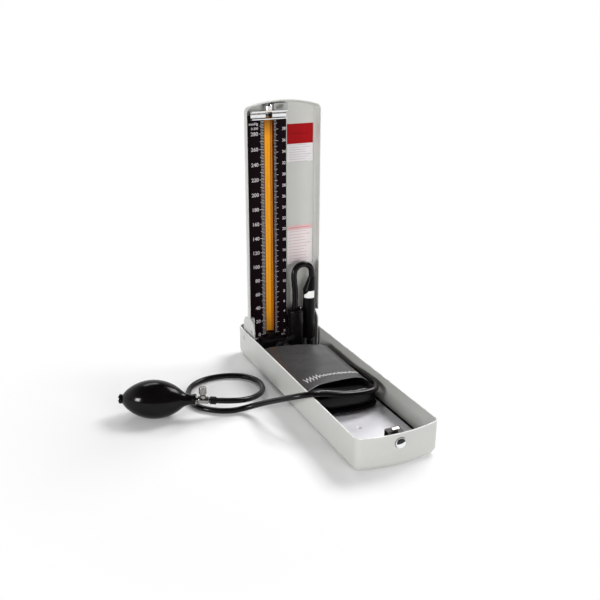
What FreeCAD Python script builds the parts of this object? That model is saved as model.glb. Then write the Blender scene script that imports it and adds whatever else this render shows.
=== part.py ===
import FreeCAD, Part
import math
import os

# Desk mercury sphygmomanometer, modelled with its lid standing open.
# Frame: +X to the right of someone facing the scale, +Y to the back, +Z up, millimetres.
# The origin is under the middle of the case, on the surface that it stands on.

V = FreeCAD.Vector

# ---- case -----------------------------------------------------------------
W = 102.0            # width of the tray and the lid
L = 352.0            # length of the tray
H_TRAY = 42.0        # height of the tray's rim
T = 1.2              # sheet thickness
BOW = 8.0            # how far the front end bows out over the width
BOW_R = ((W / 2) ** 2 + BOW ** 2) / (2 * BOW)
R_PLAN = 8.0         # front corner radius seen from above
R_REAR = 10.0        # rear corner radius seen from above
R_BOTTOM = 10.0      # radius between the tray's bottom and its walls
FRONT, REAR = -L / 2, L / 2
PLATE_TOP = 9.0      # top of the false floor
PLATE_Y = (-152.0, 108.0)                       # ends of the false floor
# ---- lid and its hinge ----------------------------------------------------
D_LID = 22.0         # depth of the lid
R_BACK = 18.0        # radius between the lid's back and its walls
HINGE_Y = 131.0      # pivot, 45 mm in front of the tray's rear end
HINGE_Z = 45.0       # pivot, 3 mm over the rim
LID_TAIL = 40.0      # pivot to the lid's rear end
Y_RIM = HINGE_Y - (HINGE_Z - H_TRAY)            # rim plane of the open lid
Y_BACK = Y_RIM + D_LID
Z_LOW = HINGE_Z - LID_TAIL                      # lower end of the open lid
Z_TOP = HINGE_Z + HINGE_Y + L / 2               # top of the open lid, at the middle of its bow
NECK = 45.4          # half width of the lid where it passes between the ears
Z_STEP = 66.0        # height where the open lid takes its full width
PIN_R = 2.5
# ---- hinge bracket --------------------------------------------------------
SHEET = 1.4
EAR_IN, EAR_OUT = 46.6, 46.6 + SHEET            # faces of the ears
EAR_FRONT, EAR_REAR, EAR_TOP = 121.5, 159.0, 64.0
EAR_FRONT_R, EAR_REAR_R = 12.0, 15.0
RIVET_R = 1.8        # rivet holes
SIDE_RIVET = (151.0, 31.5)                      # Y and Z of the rivet through each ear
BASE_RIVETS = [(x, y) for x in (-28.0, 28.0) for y in (132.0, 153.0)]
SPACER_X = 49.8      # inner face of the tray's side walls
# ---- manometer ------------------------------------------------------------
X_TUBE, Y_TUBE = -19.4, 132.0
D_TUBE, D_BORE = 8.0, 4.2
Z_ZERO = 40.5        # zero of the scale
Y_PLATE = 132.0      # front of the scale plate
Y_PANEL = 140.0      # front of the inner panel of the lid
SCALE_TOP = 334.0    # upper edge of the scale plate
RAIL_Z = (329.2, 339.6)                         # lower and upper edge of the rail
RES_X, RES_Y, RES_R = 15.2, 125.0, 11.0
RES_Z0, RES_Z1 = 22.0, 73.0
RES_WALL = 2.0
NIPPLE_X, NIPPLE_H = 14.0, 2.4
COCK_X, COCK_Z = -17.0, 31.0                    # axis of the stopcock's plug
SLEEVE_X, SLEEVE_Y, SLEEVE_R = 35.0, 125.0, 8.3
SLEEVE_Z0, SLEEVE_Z1 = 27.0, 98.5               # lower end, and where the reducer starts
REDUCER_X, REDUCER_Z, REDUCER_R = 38.6, 116.0, 4.6
# ---- latch ----------------------------------------------------------------
BTN_X, BTN_Z, BTN_D = -2.0, 30.5, 12.4
BTN_FRONT = FRONT - 2.3                         # face of the button
BTN_GAP = 0.35       # radial clearance of the button in its holes
HOOK_X, HOOK_Y = -5.5, -169.5                   # middle of the hook, and its front face
HOOK_T = 1.2
SPRING_R, WIRE_D, SPRING_TURNS = 3.2, 0.7, 4
# ---- hoses ----------------------------------------------------------------
D_HOSE = 7.0
D_ARCH = 8.0         # the thicker hose from the reservoir to its connector
M_IN, M_OUT = V(30.6, 77.2, 15.0), V(30.6, 91.5, 15.2)     # ends of the cuff's rear outlet
B_IN, B_OUT = V(36.2, 70.8, 15.1), V(42.4, 61.0, 16.8)     # ends of the cuff's side outlet
# ---- hand bulb: s is the distance from its intake end along its axis ------
BULB_P = V(-245.5, 57.6, 23.3)
BULB_D = V(0.9026, -0.4306, 0.0).normalize()
BARREL_S, BARREL_R = 41.0, 23.2                 # where the bulb is widest, and its radius there
CROWN_R = 49.5       # radius of the barrel's profile
BULB_WALL, BULB_BORE, BULB_END = 2.6, 3.0, 91.0
# Release valve: a point of its axis at the bulb's neck, and the axis's direction.
VALVE_P = BULB_P + BULB_D * 92.3
VALVE_D = V(0.955, -0.225, -0.150).normalize()

os.makedirs("parts", exist_ok=True)
NODES = []


def save(node, *shapes):
    """Write one node as STEP: a single solid, or a group of solids."""
    shape = shapes[0] if len(shapes) == 1 else Part.makeCompound(list(shapes))
    if shape.ShapeType != "Compound" and len(shape.Solids) == 1:
        shape = shape.Solids[0]
    if not shape.isValid():
        print("INVALID", node)
    shape.exportStep(f"parts/{node}.step")
    b = shape.BoundBox
    NODES.append(node)
    print(f"{node:26s} solids {len(shape.Solids):2d} faces {len(shape.Faces):4d} "
          f"volume {shape.Volume / 1000:9.3f} cm3 x {b.XMin:7.1f} {b.XMax:7.1f} "
          f"y {b.YMin:7.1f} {b.YMax:7.1f} z {b.ZMin:6.1f} {b.ZMax:6.1f}")


# ---------------------------------------------------------------- helpers
def box(x0, x1, y0, y1, z0, z1):
    """Box from its limits."""
    return Part.makeBox(x1 - x0, y1 - y0, z1 - z0, V(x0, y0, z0))


def rod(r, p, q):
    """Cylinder of radius r from p to q."""
    d = q - p
    return Part.makeCylinder(r, d.Length, p, d)


def ring(r_out, r_in, p, q):
    """Tube with the two radii from p to q."""
    d = (q - p) * 0.05
    return rod(r_out, p, q).cut(rod(r_in, p - d, q + d))


def prism(points, direction):
    """Flat polygon extruded along a direction."""
    wire = Part.makePolygon(list(points) + [points[0]])
    return Part.Face(wire).extrude(direction)


def line(p, q):
    """Straight edge."""
    return Part.LineSegment(p, q).toShape()


def turned(profile, origin, axis):
    """Solid of revolution from (distance along the axis, radius) pairs, closed back to the first.

    An entry of four numbers is an arc: a point that it passes through, then the point where it ends.
    """
    last = V(profile[0][0], 0, profile[0][1])
    edges = []
    for entry in profile[1:] + profile[:1]:
        end = V(entry[-2], 0, entry[-1])
        if (end - last).Length < 1e-6:
            continue
        if len(entry) == 4:
            edges.append(Part.Arc(last, V(entry[0], 0, entry[1]), end).toShape())
        else:
            edges.append(line(last, end))
        last = end
    solid = Part.Face(Part.Wire(edges)).revolve(V(0, 0, 0), V(1, 0, 0), 360)
    solid.Placement = FreeCAD.Placement(origin, FreeCAD.Rotation(V(1, 0, 0), axis))
    return solid


def edges_where(shape, test):
    """Edges whose bounding box passes a test."""
    return [e for e in shape.Edges if test(e.BoundBox)]


def tube_along(points, diameter, name):
    """Round tube along straight runs joined by arcs as large as the runs allow."""
    pts = [V(*p) for p in points]
    edges, radii, last, length = [], [], pts[0], 0.0
    for a, b, c in zip(pts, pts[1:], pts[2:]):
        to_a, to_c = a - b, c - b
        cut = 0.45 * min(to_a.Length, to_c.Length)
        to_a.normalize()
        to_c.normalize()
        turn = math.pi - to_a.getAngle(to_c)
        radius = cut / math.tan(turn / 2)
        radii.append(radius / diameter)
        p, q = b + to_a * cut, b + to_c * cut
        middle = b + (to_a + to_c).normalize() * (radius / math.cos(turn / 2) - radius)
        edges.append(line(last, p))
        edges.append(Part.Arc(p, middle, q).toShape())
        length += (p - last).Length + radius * turn
        last = q
    edges.append(line(last, pts[-1]))
    length += (pts[-1] - last).Length
    circle = Part.Wire(Part.makeCircle(diameter / 2, pts[0], pts[1] - pts[0]))
    tube = Part.Wire(edges).makePipeShell([circle], True, False)
    want = math.pi * diameter ** 2 / 4 * length
    print(f"   {name}: length {length:.1f} mm, radii in diameters "
          + " ".join(f"{r:.1f}" for r in radii) + f", volume ratio {tube.Volume / want:.4f}")
    return tube


def pan(half, y_rear, y_front, height, z0=0.0, bow_r=0.0, r_front=0.0, r_rear=0.0, r_floor=0.0):
    """Solid of a pan: bowed or straight front, rounded corners in plan and a rounded floor edge."""
    dy = bow_r - math.sqrt(bow_r ** 2 - half ** 2) if bow_r else 0.0
    left, right = V(-half, y_front + dy, z0), V(half, y_front + dy, z0)
    front = Part.Arc(left, V(0, y_front, z0), right).toShape() if bow_r else line(left, right)
    back_right, back_left = V(half, y_rear, z0), V(-half, y_rear, z0)
    outline = [front, line(right, back_right), line(back_right, back_left), line(back_left, left)]
    solid = Part.Face(Part.Wire(outline)).extrude(V(0, 0, height))
    middle = (y_rear + y_front) / 2
    for radius, at_front in ((r_front, True), (r_rear, False)):
        if radius:
            corners = edges_where(solid, lambda b: b.ZLength > height * 0.9 and (b.YMin < middle) == at_front)
            solid = solid.makeFillet(radius, corners)
    if r_floor:
        solid = solid.makeFillet(r_floor, edges_where(solid, lambda b: b.ZMax < z0 + 1e-3))
    return solid


# ---------------------------------------------------------------- tray
def tray_form(grow):
    """Solid of the tray's form; grow 0 is the outside, -T the inside."""
    return pan(W / 2 + grow, REAR + grow, FRONT - grow, H_TRAY, -grow, BOW_R + grow,
               R_PLAN + grow, R_REAR + grow, R_BOTTOM + grow)


def make_tray():
    """Pressed tray with a rounded floor edge, the button's hole and the holes of the bracket's rivets."""
    tray = tray_form(0.0).cut(tray_form(-T))
    tray = tray.cut(rod(BTN_D / 2 + BTN_GAP, V(BTN_X, FRONT - 3, BTN_Z), V(BTN_X, FRONT + 8, BTN_Z)))
    y, z = SIDE_RIVET
    for side in (-1, 1):
        tray = tray.cut(rod(RIVET_R, V(side * 47, y, z), V(side * 53, y, z)))
    for x, y in BASE_RIVETS:
        tray = tray.cut(rod(RIVET_R, V(x, y, -1), V(x, y, 3)))
    save("tray", tray)


def make_floor_plate():
    """Bright false floor over the rounded floor edge, on a turned-down flange at each end."""
    sheet, half, flange = 0.8, 46.0, 38.0
    under = PLATE_TOP - sheet
    y0, y1 = PLATE_Y
    plate = pan(half, y1, y0, sheet, under, r_front=6.0, r_rear=6.0)
    plate = plate.fuse([box(-flange, flange, y1 - sheet, y1, T, under),
                        box(-flange, flange, y0, y0 + sheet, T, under)])
    # A shallow round dimple, 0.35 mm deep, stiffens the plate in front of the cuff.
    ball = 14.0
    dimple = Part.makeSphere(ball, V(-7, -98, PLATE_TOP - 0.35 + ball))
    save("floor_plate", plate.cut(dimple))


def make_hinge_bracket():
    """U-shaped hinge bracket: base on the tray's floor, two ears with round corners, and a stop lip."""
    bend = R_BOTTOM - T
    height = EAR_TOP - T
    outer = pan(EAR_OUT, EAR_REAR, EAR_FRONT, height, T)
    outer = outer.makeFillet(bend + 0.3, edges_where(outer, lambda b: b.YLength > 30 and b.ZMax < T + 1e-3))
    inner = pan(EAR_IN, EAR_REAR + 10, EAR_FRONT - 10, height, T + SHEET)
    inner = inner.makeFillet(bend - 1.1, edges_where(inner, lambda b: b.YLength > 30
                                                     and b.ZMax < T + SHEET + 1e-3))
    # Side outline of the ears, as a closed profile extruded across the case.
    x = -60.0
    f, r = EAR_FRONT_R, EAR_REAR_R
    lean = math.sqrt(0.5)
    corners = [V(x, EAR_FRONT, T - 1), V(x, EAR_FRONT, EAR_TOP - f), V(x, EAR_FRONT + f, EAR_TOP),
               V(x, EAR_REAR - r, EAR_TOP), V(x, EAR_REAR, EAR_TOP - r), V(x, EAR_REAR, T - 1)]
    front_mid = V(x, EAR_FRONT + f - f * lean, EAR_TOP - f + f * lean)
    rear_mid = V(x, EAR_REAR - r + r * lean, EAR_TOP - r + r * lean)
    profile = Part.Wire([line(corners[0], corners[1]), Part.Arc(corners[1], front_mid, corners[2]).toShape(),
                         line(corners[2], corners[3]), Part.Arc(corners[3], rear_mid, corners[4]).toShape(),
                         line(corners[4], corners[5]), line(corners[5], corners[0])])
    bracket = outer.cut(inner).common(Part.Face(profile).extrude(V(-2 * x, 0, 0)))
    # The base is cut away at the front between the ears, where a stop lip is turned up.
    lip = 124.9
    bracket = bracket.cut(box(-36, 36, 110, lip, 0, 10))
    bracket = bracket.fuse(box(-30, 30, lip, lip + SHEET, T, 8.5))
    y, z = SIDE_RIVET
    for side in (-1, 1):
        bracket = bracket.cut(rod(PIN_R, V(side * 40, HINGE_Y, HINGE_Z), V(side * 50, HINGE_Y, HINGE_Z)))
        bracket = bracket.cut(rod(RIVET_R, V(side * 40, y, z), V(side * 50, y, z)))
    for bx, by in BASE_RIVETS:
        bracket = bracket.cut(rod(RIVET_R, V(bx, by, 0), V(bx, by, 4)))
    save("hinge_bracket", bracket.removeSplitter())


def make_bracket_fasteners():
    """Spacers and rivets of the bracket, and the two hinge pins, each with a head at both ends."""
    y, z = SIDE_RIVET
    shank = RIVET_R - 0.05
    spacers, rivets, pins = [], [], []
    for side in (-1, 1):
        out = V(side, 0, 0)
        spacers.append(ring(4.5, RIVET_R, V(side * EAR_OUT, y, z), V(side * SPACER_X, y, z)))
        rivet = [(0, 0), (0, 2.6), (0.4, 3.2), (0.7, 3.2), (0.7, shank), (5.1, shank), (5.1, 3.4), (5.5, 2.9),
                 (5.8, 1.6), (5.9, 0)]
        rivets.append(turned(rivet, V(side * (EAR_IN - 0.7), y, z), out))
        pin = [(0, 0), (0, 3.4), (0.6, 3.4), (0.6, PIN_R - 0.05), (2.0, PIN_R - 0.05), (2.0, PIN_R),
               (4.55, PIN_R), (4.55, 4.0), (5.3, 3.6), (5.7, 0)]
        pins.append(turned(pin, V(side * 43.5, HINGE_Y, HINGE_Z), out))
    for bx, by in BASE_RIVETS:
        rivets.append(turned([(0, 0), (0, shank), (2.5, shank), (2.5, 3.2), (3.2, 2.7), (3.5, 0)],
                             V(bx, by, 0.1), V(0, 0, 1)))
    save("hinge_bracket_spacers", *spacers)
    save("hinge_bracket_rivets", *rivets)
    save("hinge_pins", *pins)


# ---------------------------------------------------------------- latch
def make_latch():
    """Push-button latch: guide inside the front wall, button with its hook, and the return spring."""
    sheet, half = 1.0, 8.6
    x0, x1, z0, z1 = BTN_X - half, BTN_X + half, BTN_Z - half, BTN_Z + half
    y_f, y_r = FRONT + 2.6, FRONT + 19.0
    guide = box(x0, x1, y_f, y_r, z0, z1)
    guide = guide.cut(box(x0 - 1, x1 + 1, y_f + sheet, y_r - sheet, z0 + sheet, z1 - sheet))
    guide = guide.fuse([box(x0 - 4, x0, y_f, y_f + sheet, z0, z1), box(x1, x1 + 4, y_f, y_f + sheet, z0, z1)])
    guide = guide.cut(rod(BTN_D / 2 + BTN_GAP, V(BTN_X, y_f - 1, BTN_Z), V(BTN_X, y_f + 2, BTN_Z)))
    guide = guide.cut(rod(2.4, V(BTN_X, y_r - 2, BTN_Z), V(BTN_X, y_r + 2, BTN_Z)))
    guide = guide.cut(box(HOOK_X - 4.6, HOOK_X + 4.6, HOOK_Y - 0.7, HOOK_Y + 4.9, z1 - 2, z1 + 1))
    # Two welded lugs fill the gap between the guide's flanges and the bowed front wall.
    inside = tray_form(-T)
    lugs = [box(a, a + 4, FRONT - 4, y_f, z0, z1).common(inside) for a in (x0 - 4, x1)]
    save("latch_guide", guide.fuse(lugs).removeSplitter())
    r, shaft = BTN_D / 2, 2.0
    button = turned([(0, 0), (0, r - 0.9), (0.25, r - 0.35), (0.8, r), (6.2, r), (6.2, 7.3), (7.3, 7.3),
                     (7.3, shaft), (23.0, shaft), (23.0, 0)], V(BTN_X, BTN_FRONT, BTN_Z), V(0, 1, 0))
    save("latch_button", button)
    # The hook is an L-shaped plate: its foot sits on the button's shaft, its arm rises past the rim.
    x, y, nose_z = HOOK_X - 4, HOOK_Y, 46.5
    hook = box(x, x + 8, y, y + HOOK_T, BTN_Z - 6, nose_z)
    hook = hook.fuse(box(x + 8, BTN_X + 4.5, y, y + HOOK_T, BTN_Z - 6, BTN_Z + 6))
    nose = prism([V(x, y, nose_z), V(x, y - 2.5, nose_z - 0.9), V(x, y - 2.5, nose_z - 1.3),
                  V(x, y, nose_z - 1.3)], V(8, 0, 0))
    hook = hook.fuse(nose).cut(rod(shaft, V(BTN_X, y - 1, BTN_Z), V(BTN_X, y + 3, BTN_Z)))
    save("latch_hook", hook.removeSplitter())
    y_start, y_end = y + HOOK_T + WIRE_D / 2, y_r - sheet - WIRE_D / 2
    steps = 8 * SPRING_TURNS
    coil = [(BTN_X + SPRING_R * math.cos(math.pi / 4 * k), y_start + (y_end - y_start) * k / steps,
             BTN_Z + SPRING_R * math.sin(math.pi / 4 * k)) for k in range(steps + 1)]
    save("latch_spring", tube_along(coil, WIRE_D, "latch_spring"))


# ---------------------------------------------------------------- lid
def lid_form(grow):
    """Solid of the lid's form; grow 0 is the outside, -T the inside."""
    depth = D_LID if grow == 0 else D_LID + 2
    wide = pan(W / 2 + grow, 40.0, -Z_TOP - grow, D_LID + 5, -grow, BOW_R + grow,
               R_PLAN + grow, 0.0, R_BACK + grow)
    wide = wide.common(box(-60, 60, -400, -Z_STEP + grow, -5, 40))
    narrow = pan(NECK + grow, -Z_LOW + grow, -110, D_LID + 5, -grow, 0.0, 8.0 + grow, 8.0 + grow,
                 R_BACK - 2 + grow)
    narrow = narrow.common(box(-60, 60, -100, 10, -5, 40))
    form = wide.fuse(narrow).common(box(-60, 60, -420, 40, -5, depth))
    # The form is made lying down, open side up; here it is stood up with its open side to the front.
    form.rotate(V(0, 0, 0), V(0, 1, -1), 180)
    form.translate(V(0, Y_BACK, 0))
    return form


def make_lid():
    """Lid shell, narrow between the ears and full width above them, and the panel inside it."""
    outer, inner = lid_form(0.0), lid_form(-T)
    lid = outer.cut(inner)
    for side in (-1, 1):
        lid = lid.cut(rod(PIN_R, V(side * 40, HINGE_Y, HINGE_Z), V(side * 50, HINGE_Y, HINGE_Z)))
    save("lid", lid)
    save("lid_inner_panel", inner.common(box(-60, 60, Y_PANEL, Y_PANEL + 0.8, Z_LOW, 400)))
    paper = 0.3
    save("upper_label", box(9.0, 45.8, Y_PANEL - paper, Y_PANEL, 271.0, 320.0))
    save("lower_label", box(9.0, 45.8, Y_PANEL - paper, Y_PANEL, 133.0, 186.0))


def make_lid_catch():
    """Strike plate for the latch hook, bent back at its top to the inner panel."""
    x0, x1, y0, z1 = -13.5, 5.5, 129.4, 348.0
    y1 = y0 + HOOK_T
    plate = box(x0, x1, y0, y1, RAIL_Z[1] + 0.3, z1).fuse(box(x0, x1, y1, Y_PANEL, z1 - HOOK_T, z1))
    x, wide, narrow = HOOK_X, 5.4, 4.6
    z_top, z_low = 346.8, 341.4
    window = prism([V(x - wide, 128, z_top), V(x + wide, 128, z_top), V(x + narrow, 128, z_low),
                    V(x - narrow, 128, z_low)], V(0, 4, 0))
    # The flange is notched behind the window, so that the hook's nose finds room when the case is shut.
    notch = box(x - wide, x + wide, y1, y1 + 2.9, z_top, z1 + 1)
    save("lid_catch", plate.cut(window).cut(notch).removeSplitter())


# ---------------------------------------------------------------- manometer
def make_scale():
    """Folded scale plate with a slot for the tube, the strip behind the tube and the rail across its top."""
    y0, y1 = Y_PLATE, Y_PLATE + T
    left, right, fold = -48.4, 4.4, -43.4
    z_wide = Z_STEP + 2.0
    plate = box(left, right, y0, y1, z_wide, SCALE_TOP).fuse(box(fold + 0.4, right, y0, y1, 30.0, z_wide))
    slot = box(X_TUBE - 6.1, X_TUBE + 6.1, y0 - 1, y1 + 1, 20.0, SCALE_TOP - 3)
    notch = box(-38.0, -6.0, y0 - 1, y1 + 1, 20.0, 37.4)
    boss = box(X_TUBE - 7.7, X_TUBE + 7.7, y0 - 1, y1 + 1, 30.0, 42.6)
    plate = plate.cut(slot).cut(notch).cut(boss)
    # Flanges run back to the panel along both sides and over the top.
    plate = plate.fuse([box(right - T, right, y1, Y_PANEL, 42.0, SCALE_TOP),
                        box(fold, fold + T, y1, Y_PANEL, z_wide, SCALE_TOP),
                        box(fold, right, y0, Y_PANEL, SCALE_TOP - T, SCALE_TOP)])
    around = D_TUBE / 2 + 0.4
    plate = plate.cut(rod(around, V(X_TUBE, Y_TUBE, SCALE_TOP - 10), V(X_TUBE, Y_TUBE, SCALE_TOP + 10)))
    save("scale_plate", plate.removeSplitter())
    a, b = X_TUBE - 8, X_TUBE + 8
    y_strip, z0, z1 = Y_TUBE + 5.0, 42.5, SCALE_TOP - 3
    strip = box(a, b, y_strip, y_strip + 1, z0, z1)
    strip = strip.fuse([box(a, a + T, y_strip + 1, Y_PANEL, z0, z1),
                        box(b - T, b, y_strip + 1, Y_PANEL, z0, z1)])
    save("tube_backing_strip", strip.removeSplitter())
    z0, z1 = RAIL_Z
    rail = box(-44.0, 4.0, Y_PLATE - 6, Y_PLATE, z0, z1).cut(box(-45, 5, 125, Y_PLATE - 1, z0 + T, z1 - T))
    rail = rail.cut(rod(D_TUBE / 2 + 0.6, V(X_TUBE, Y_TUBE, 320), V(X_TUBE, Y_TUBE, 350)))
    save("top_rail", rail.removeSplitter())


def make_tube():
    """Glass manometer tube, its cap, and the mercury standing at zero in it and in the reservoir."""
    z0, z1 = 37.0, RAIL_Z[1] + 5.4
    save("glass_tube", ring(D_TUBE / 2, D_BORE / 2, V(X_TUBE, Y_TUBE, z0), V(X_TUBE, Y_TUBE, z1)))
    fit = D_TUBE / 2 + 0.05
    cap = turned([(0, fit), (0, 5.0), (5.6, 5.0), (6.4, 4.4), (8.2, 3.2), (8.2, 0.8), (5.4, 0.8), (5.4, fit)],
                 V(X_TUBE, Y_TUBE, RAIL_Z[1]), V(0, 0, 1))
    save("tube_cap", cap)
    column = rod(D_BORE / 2, V(X_TUBE, Y_TUBE, z0), V(X_TUBE, Y_TUBE, Z_ZERO))
    pool = rod(RES_R - RES_WALL, V(RES_X, RES_Y, RES_Z0 + 2.5), V(RES_X, RES_Y, Z_ZERO))
    save("mercury", column, pool)


def make_reservoir():
    """Reservoir with round shoulders, hose collar, filler screw and the saddle that holds it."""
    h = RES_Z1 - RES_Z0
    body = Part.makeCylinder(RES_R, h, V(RES_X, RES_Y, RES_Z0))
    body = body.makeFillet(3.0, edges_where(body, lambda b: b.ZMin > RES_Z1 - 0.01))
    body = body.makeFillet(1.5, edges_where(body, lambda b: b.ZMax < RES_Z0 + 0.01))
    body = body.cut(Part.makeCylinder(RES_R - RES_WALL, h - 5.5, V(RES_X, RES_Y, RES_Z0 + 2.5)))
    body = body.cut(rod(1.5, V(NIPPLE_X, RES_Y, RES_Z1 - 5), V(NIPPLE_X, RES_Y, RES_Z1 + 1)))
    save("reservoir", body)
    save("reservoir_nipple", turned([(0, 1.5), (0, 4.6), (1.6, 4.6), (NIPPLE_H, 4.2), (NIPPLE_H, 1.5)],
                                    V(NIPPLE_X, RES_Y, RES_Z1), V(0, 0, 1)))
    x, y = RES_X + 5.7, RES_Y - 1.0
    screw = turned([(0, 0), (0, 2.1), (2.6, 2.1), (3.2, 1.6), (3.2, 0)], V(x, y, RES_Z1), V(0, 0, 1))
    save("reservoir_filler_screw", screw.cut(box(x - 4, x + 4, y - 0.3, y + 0.3, RES_Z1 + 2.3, RES_Z1 + 4)))
    saddle = box(RES_X - 7, RES_X + 7, RES_Y + 6, Y_PANEL, 44.0, 60.0)
    save("reservoir_saddle", saddle.cut(Part.makeCylinder(RES_R, 60, V(RES_X, RES_Y, 20))))


def make_stopcock():
    """Stopcock body under the tube, with its seat, the pipe to the reservoir, and the lever with its plug."""
    body = box(-37.0, -7.0, 114.0, Y_PANEL, 21.0, 37.0)
    rounded = edges_where(body, lambda b: b.ZLength > 15 or (b.YMax < 114.01 and b.XLength > 20))
    body = body.makeFillet(3.0, rounded)
    body = body.fuse(Part.makeCone(7.2, 6.4, 5.2, V(X_TUBE, Y_TUBE, 36.8)))
    body = body.cut(rod(D_TUBE / 2, V(X_TUBE, Y_TUBE, 37.0), V(X_TUBE, Y_TUBE, 45.0)))
    plug_r = 3.5
    body = body.cut(rod(plug_r + 0.05, V(COCK_X, 112, COCK_Z), V(COCK_X, 128.0, COCK_Z)))
    save("stopcock_body", body.removeSplitter())
    pipe = rod(3.2, V(-7.0, RES_Y, 28.5), V(RES_X - RES_R + 0.2, RES_Y, 28.5))
    save("transfer_pipe", pipe.cut(Part.makeCylinder(RES_R, 60, V(RES_X, RES_Y, 20))))
    plug = rod(plug_r, V(COCK_X, 111.2, COCK_Z), V(COCK_X, 127.5, COCK_Z))
    hub = turned([(0, 0), (0, 3.6), (0.6, 4.2), (3.0, 4.2), (3.0, 0)], V(COCK_X, 108.2, COCK_Z), V(0, 1, 0))
    a = math.radians(22)
    along, up = V(math.cos(a), 0, math.sin(a)), V(-math.sin(a), 0, math.cos(a))
    o = V(COCK_X, 108.8, COCK_Z)
    half_outline = [(0, 2.4), (13, 1.7), (15, 2.8), (23.5, 2.8), (25, 1.4)]
    upper = [o + along * s + up * h for s, h in half_outline]
    lower = [o + along * s - up * h for s, h in reversed(half_outline)]
    arm = prism(upper + lower, V(0, 1.8, 0))
    save("stopcock_lever", plug.fuse([hub, arm]).removeSplitter())


MANOMETER_ARCH = [
    (NIPPLE_X, RES_Y, RES_Z1 + NIPPLE_H), (14.0, 125.0, 86.0), (14.4, 125.0, 96.5), (13.2, 125.0, 107.0),
    (12.3, 125.0, 117.3), (12.5, 125.0, 126.3), (17.4, 125.0, 133.2), (25.6, 125.0, 135.9),
    (33.8, 125.0, 133.2), (38.8, 125.0, 126.3), (REDUCER_X, SLEEVE_Y, REDUCER_Z),
]
MANOMETER_TAIL = [
    (SLEEVE_X, SLEEVE_Y, SLEEVE_Z0), (35.0, 125.0, 19.5), (34.5, 120.6, 13.4), (33.4, 113.0, 11.6),
    (32.2, 105.6, 13.9), (31.2, 98.4, 15.4), (M_OUT.x, M_OUT.y, M_OUT.z),
]


def make_manometer_hose():
    """Hose from the reservoir over to its connector, the connector, its tag and the tail to the cuff."""
    save("manometer_hose", tube_along(MANOMETER_ARCH, D_ARCH, "manometer_hose"))
    # The connector's upper end is a reducer whose right side runs straight down.
    top = Part.Wire(Part.makeCircle(REDUCER_R, V(REDUCER_X, SLEEVE_Y, REDUCER_Z), V(0, 0, 1)))
    foot = Part.Wire(Part.makeCircle(SLEEVE_R, V(SLEEVE_X, SLEEVE_Y, SLEEVE_Z1), V(0, 0, 1)))
    reducer = Part.makeLoft([foot, top], True, True)
    length = SLEEVE_Z1 - SLEEVE_Z0
    sleeve = turned([(0, 0), (0, SLEEVE_R), (length - 2, SLEEVE_R), (length, SLEEVE_R - 1.8), (length, 0)],
                    V(SLEEVE_X, SLEEVE_Y, SLEEVE_Z1), V(0, 0, -1))
    save("hose_connector_sleeve", sleeve.fuse(reducer).removeSplitter())
    # The tag is glued round the front of the sleeve, with one corner cut off.
    z0, z1, reach = 88.0, 98.0, 20.0
    facing, spread = math.radians(-114), math.radians(53)
    wedge = prism([V(SLEEVE_X, SLEEVE_Y, z0)] + [
        V(SLEEVE_X + reach * math.cos(facing + a), SLEEVE_Y + reach * math.sin(facing + a), z0)
        for a in (-spread, 0, spread)], V(0, 0, z1 - z0))
    tag = ring(SLEEVE_R + 0.25, SLEEVE_R, V(SLEEVE_X, SLEEVE_Y, z0), V(SLEEVE_X, SLEEVE_Y, z1)).common(wedge)
    x = SLEEVE_X - SLEEVE_R
    corner = prism([V(x - 2, 100, z1 + 1), V(x - 2, 100, z0 + 4), V(x, 100, z0 + 4), V(x + 5, 100, z1 + 1)],
                   V(0, 40, 0))
    save("paper_tag", tag.cut(corner))
    save("manometer_hose_tail", tube_along(MANOMETER_TAIL, D_HOSE, "manometer_hose_tail"))


# ---------------------------------------------------------------- cuff, hose and bulb
def soft_block(points, z0, z1, r):
    """Flat cushion: a polygon in plan with every long edge rounded."""
    solid = prism([V(x, y, z0) for x, y in points], V(0, 0, z1 - z0))
    solid = solid.makeFillet(5.0, edges_where(solid, lambda b: b.ZLength > (z1 - z0) * 0.9))
    return solid.makeFillet(r, edges_where(solid, lambda b: b.ZLength < 1e-3))


def bladder_form():
    """The flat bladder inside the lower fold."""
    return soft_block([(-33.6, 77.2), (36.2, 77.2), (36.2, -7.6), (-33.6, -7.6)], 13.6, 16.8, 1.2)


def make_cuff():
    """Folded cuff as two layers, with the bladder lying in the lower one."""
    top_outline = [(-46.5, 98.5), (40.5, 81.0), (41.3, -38.0), (3.0, -17.0), (-34.0, -24.0), (-46.8, -22.0)]
    save("cuff_upper_fold", soft_block(top_outline, 21.6, 33.6, 4.0))
    low_outline = [(-46.0, 96.0), (30.0, 82.5), (38.6, 79.0), (41.0, -57.0), (14.0, -60.0), (-22.0, -53.0),
                   (-38.0, -39.0), (-46.4, -24.0)]
    lower = soft_block(low_outline, 9.3, 21.2, 3.6)
    lower = lower.cut(box(-34.0, 36.5, -8.0, 77.5, 13.2, 17.2))
    for p, q in ((M_IN, M_OUT), (B_IN, B_OUT)):
        lower = lower.cut(rod(3.3, p - (q - p) * 0.3, q))
    save("cuff_lower_fold", lower)
    save("bladder", bladder_form())


def make_cuff_outlets():
    """The bladder's two short outlets, one for each hose."""
    d = M_OUT - M_IN
    stepped = [(0, 0), (0, 1.4), (0.6, 3.0), (8.0, 3.0), (8.0, 4.4), (d.Length, 4.4), (d.Length, 0)]
    save("manometer_outlet", turned(stepped, M_IN, d))
    d = B_OUT - B_IN
    outlet = turned([(0, 0), (0, 1.4), (0.6, 3.0), (d.Length, 3.0), (d.Length, 0)], B_IN, d)
    save("bulb_hose_outlet", outlet.cut(bladder_form()))


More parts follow.
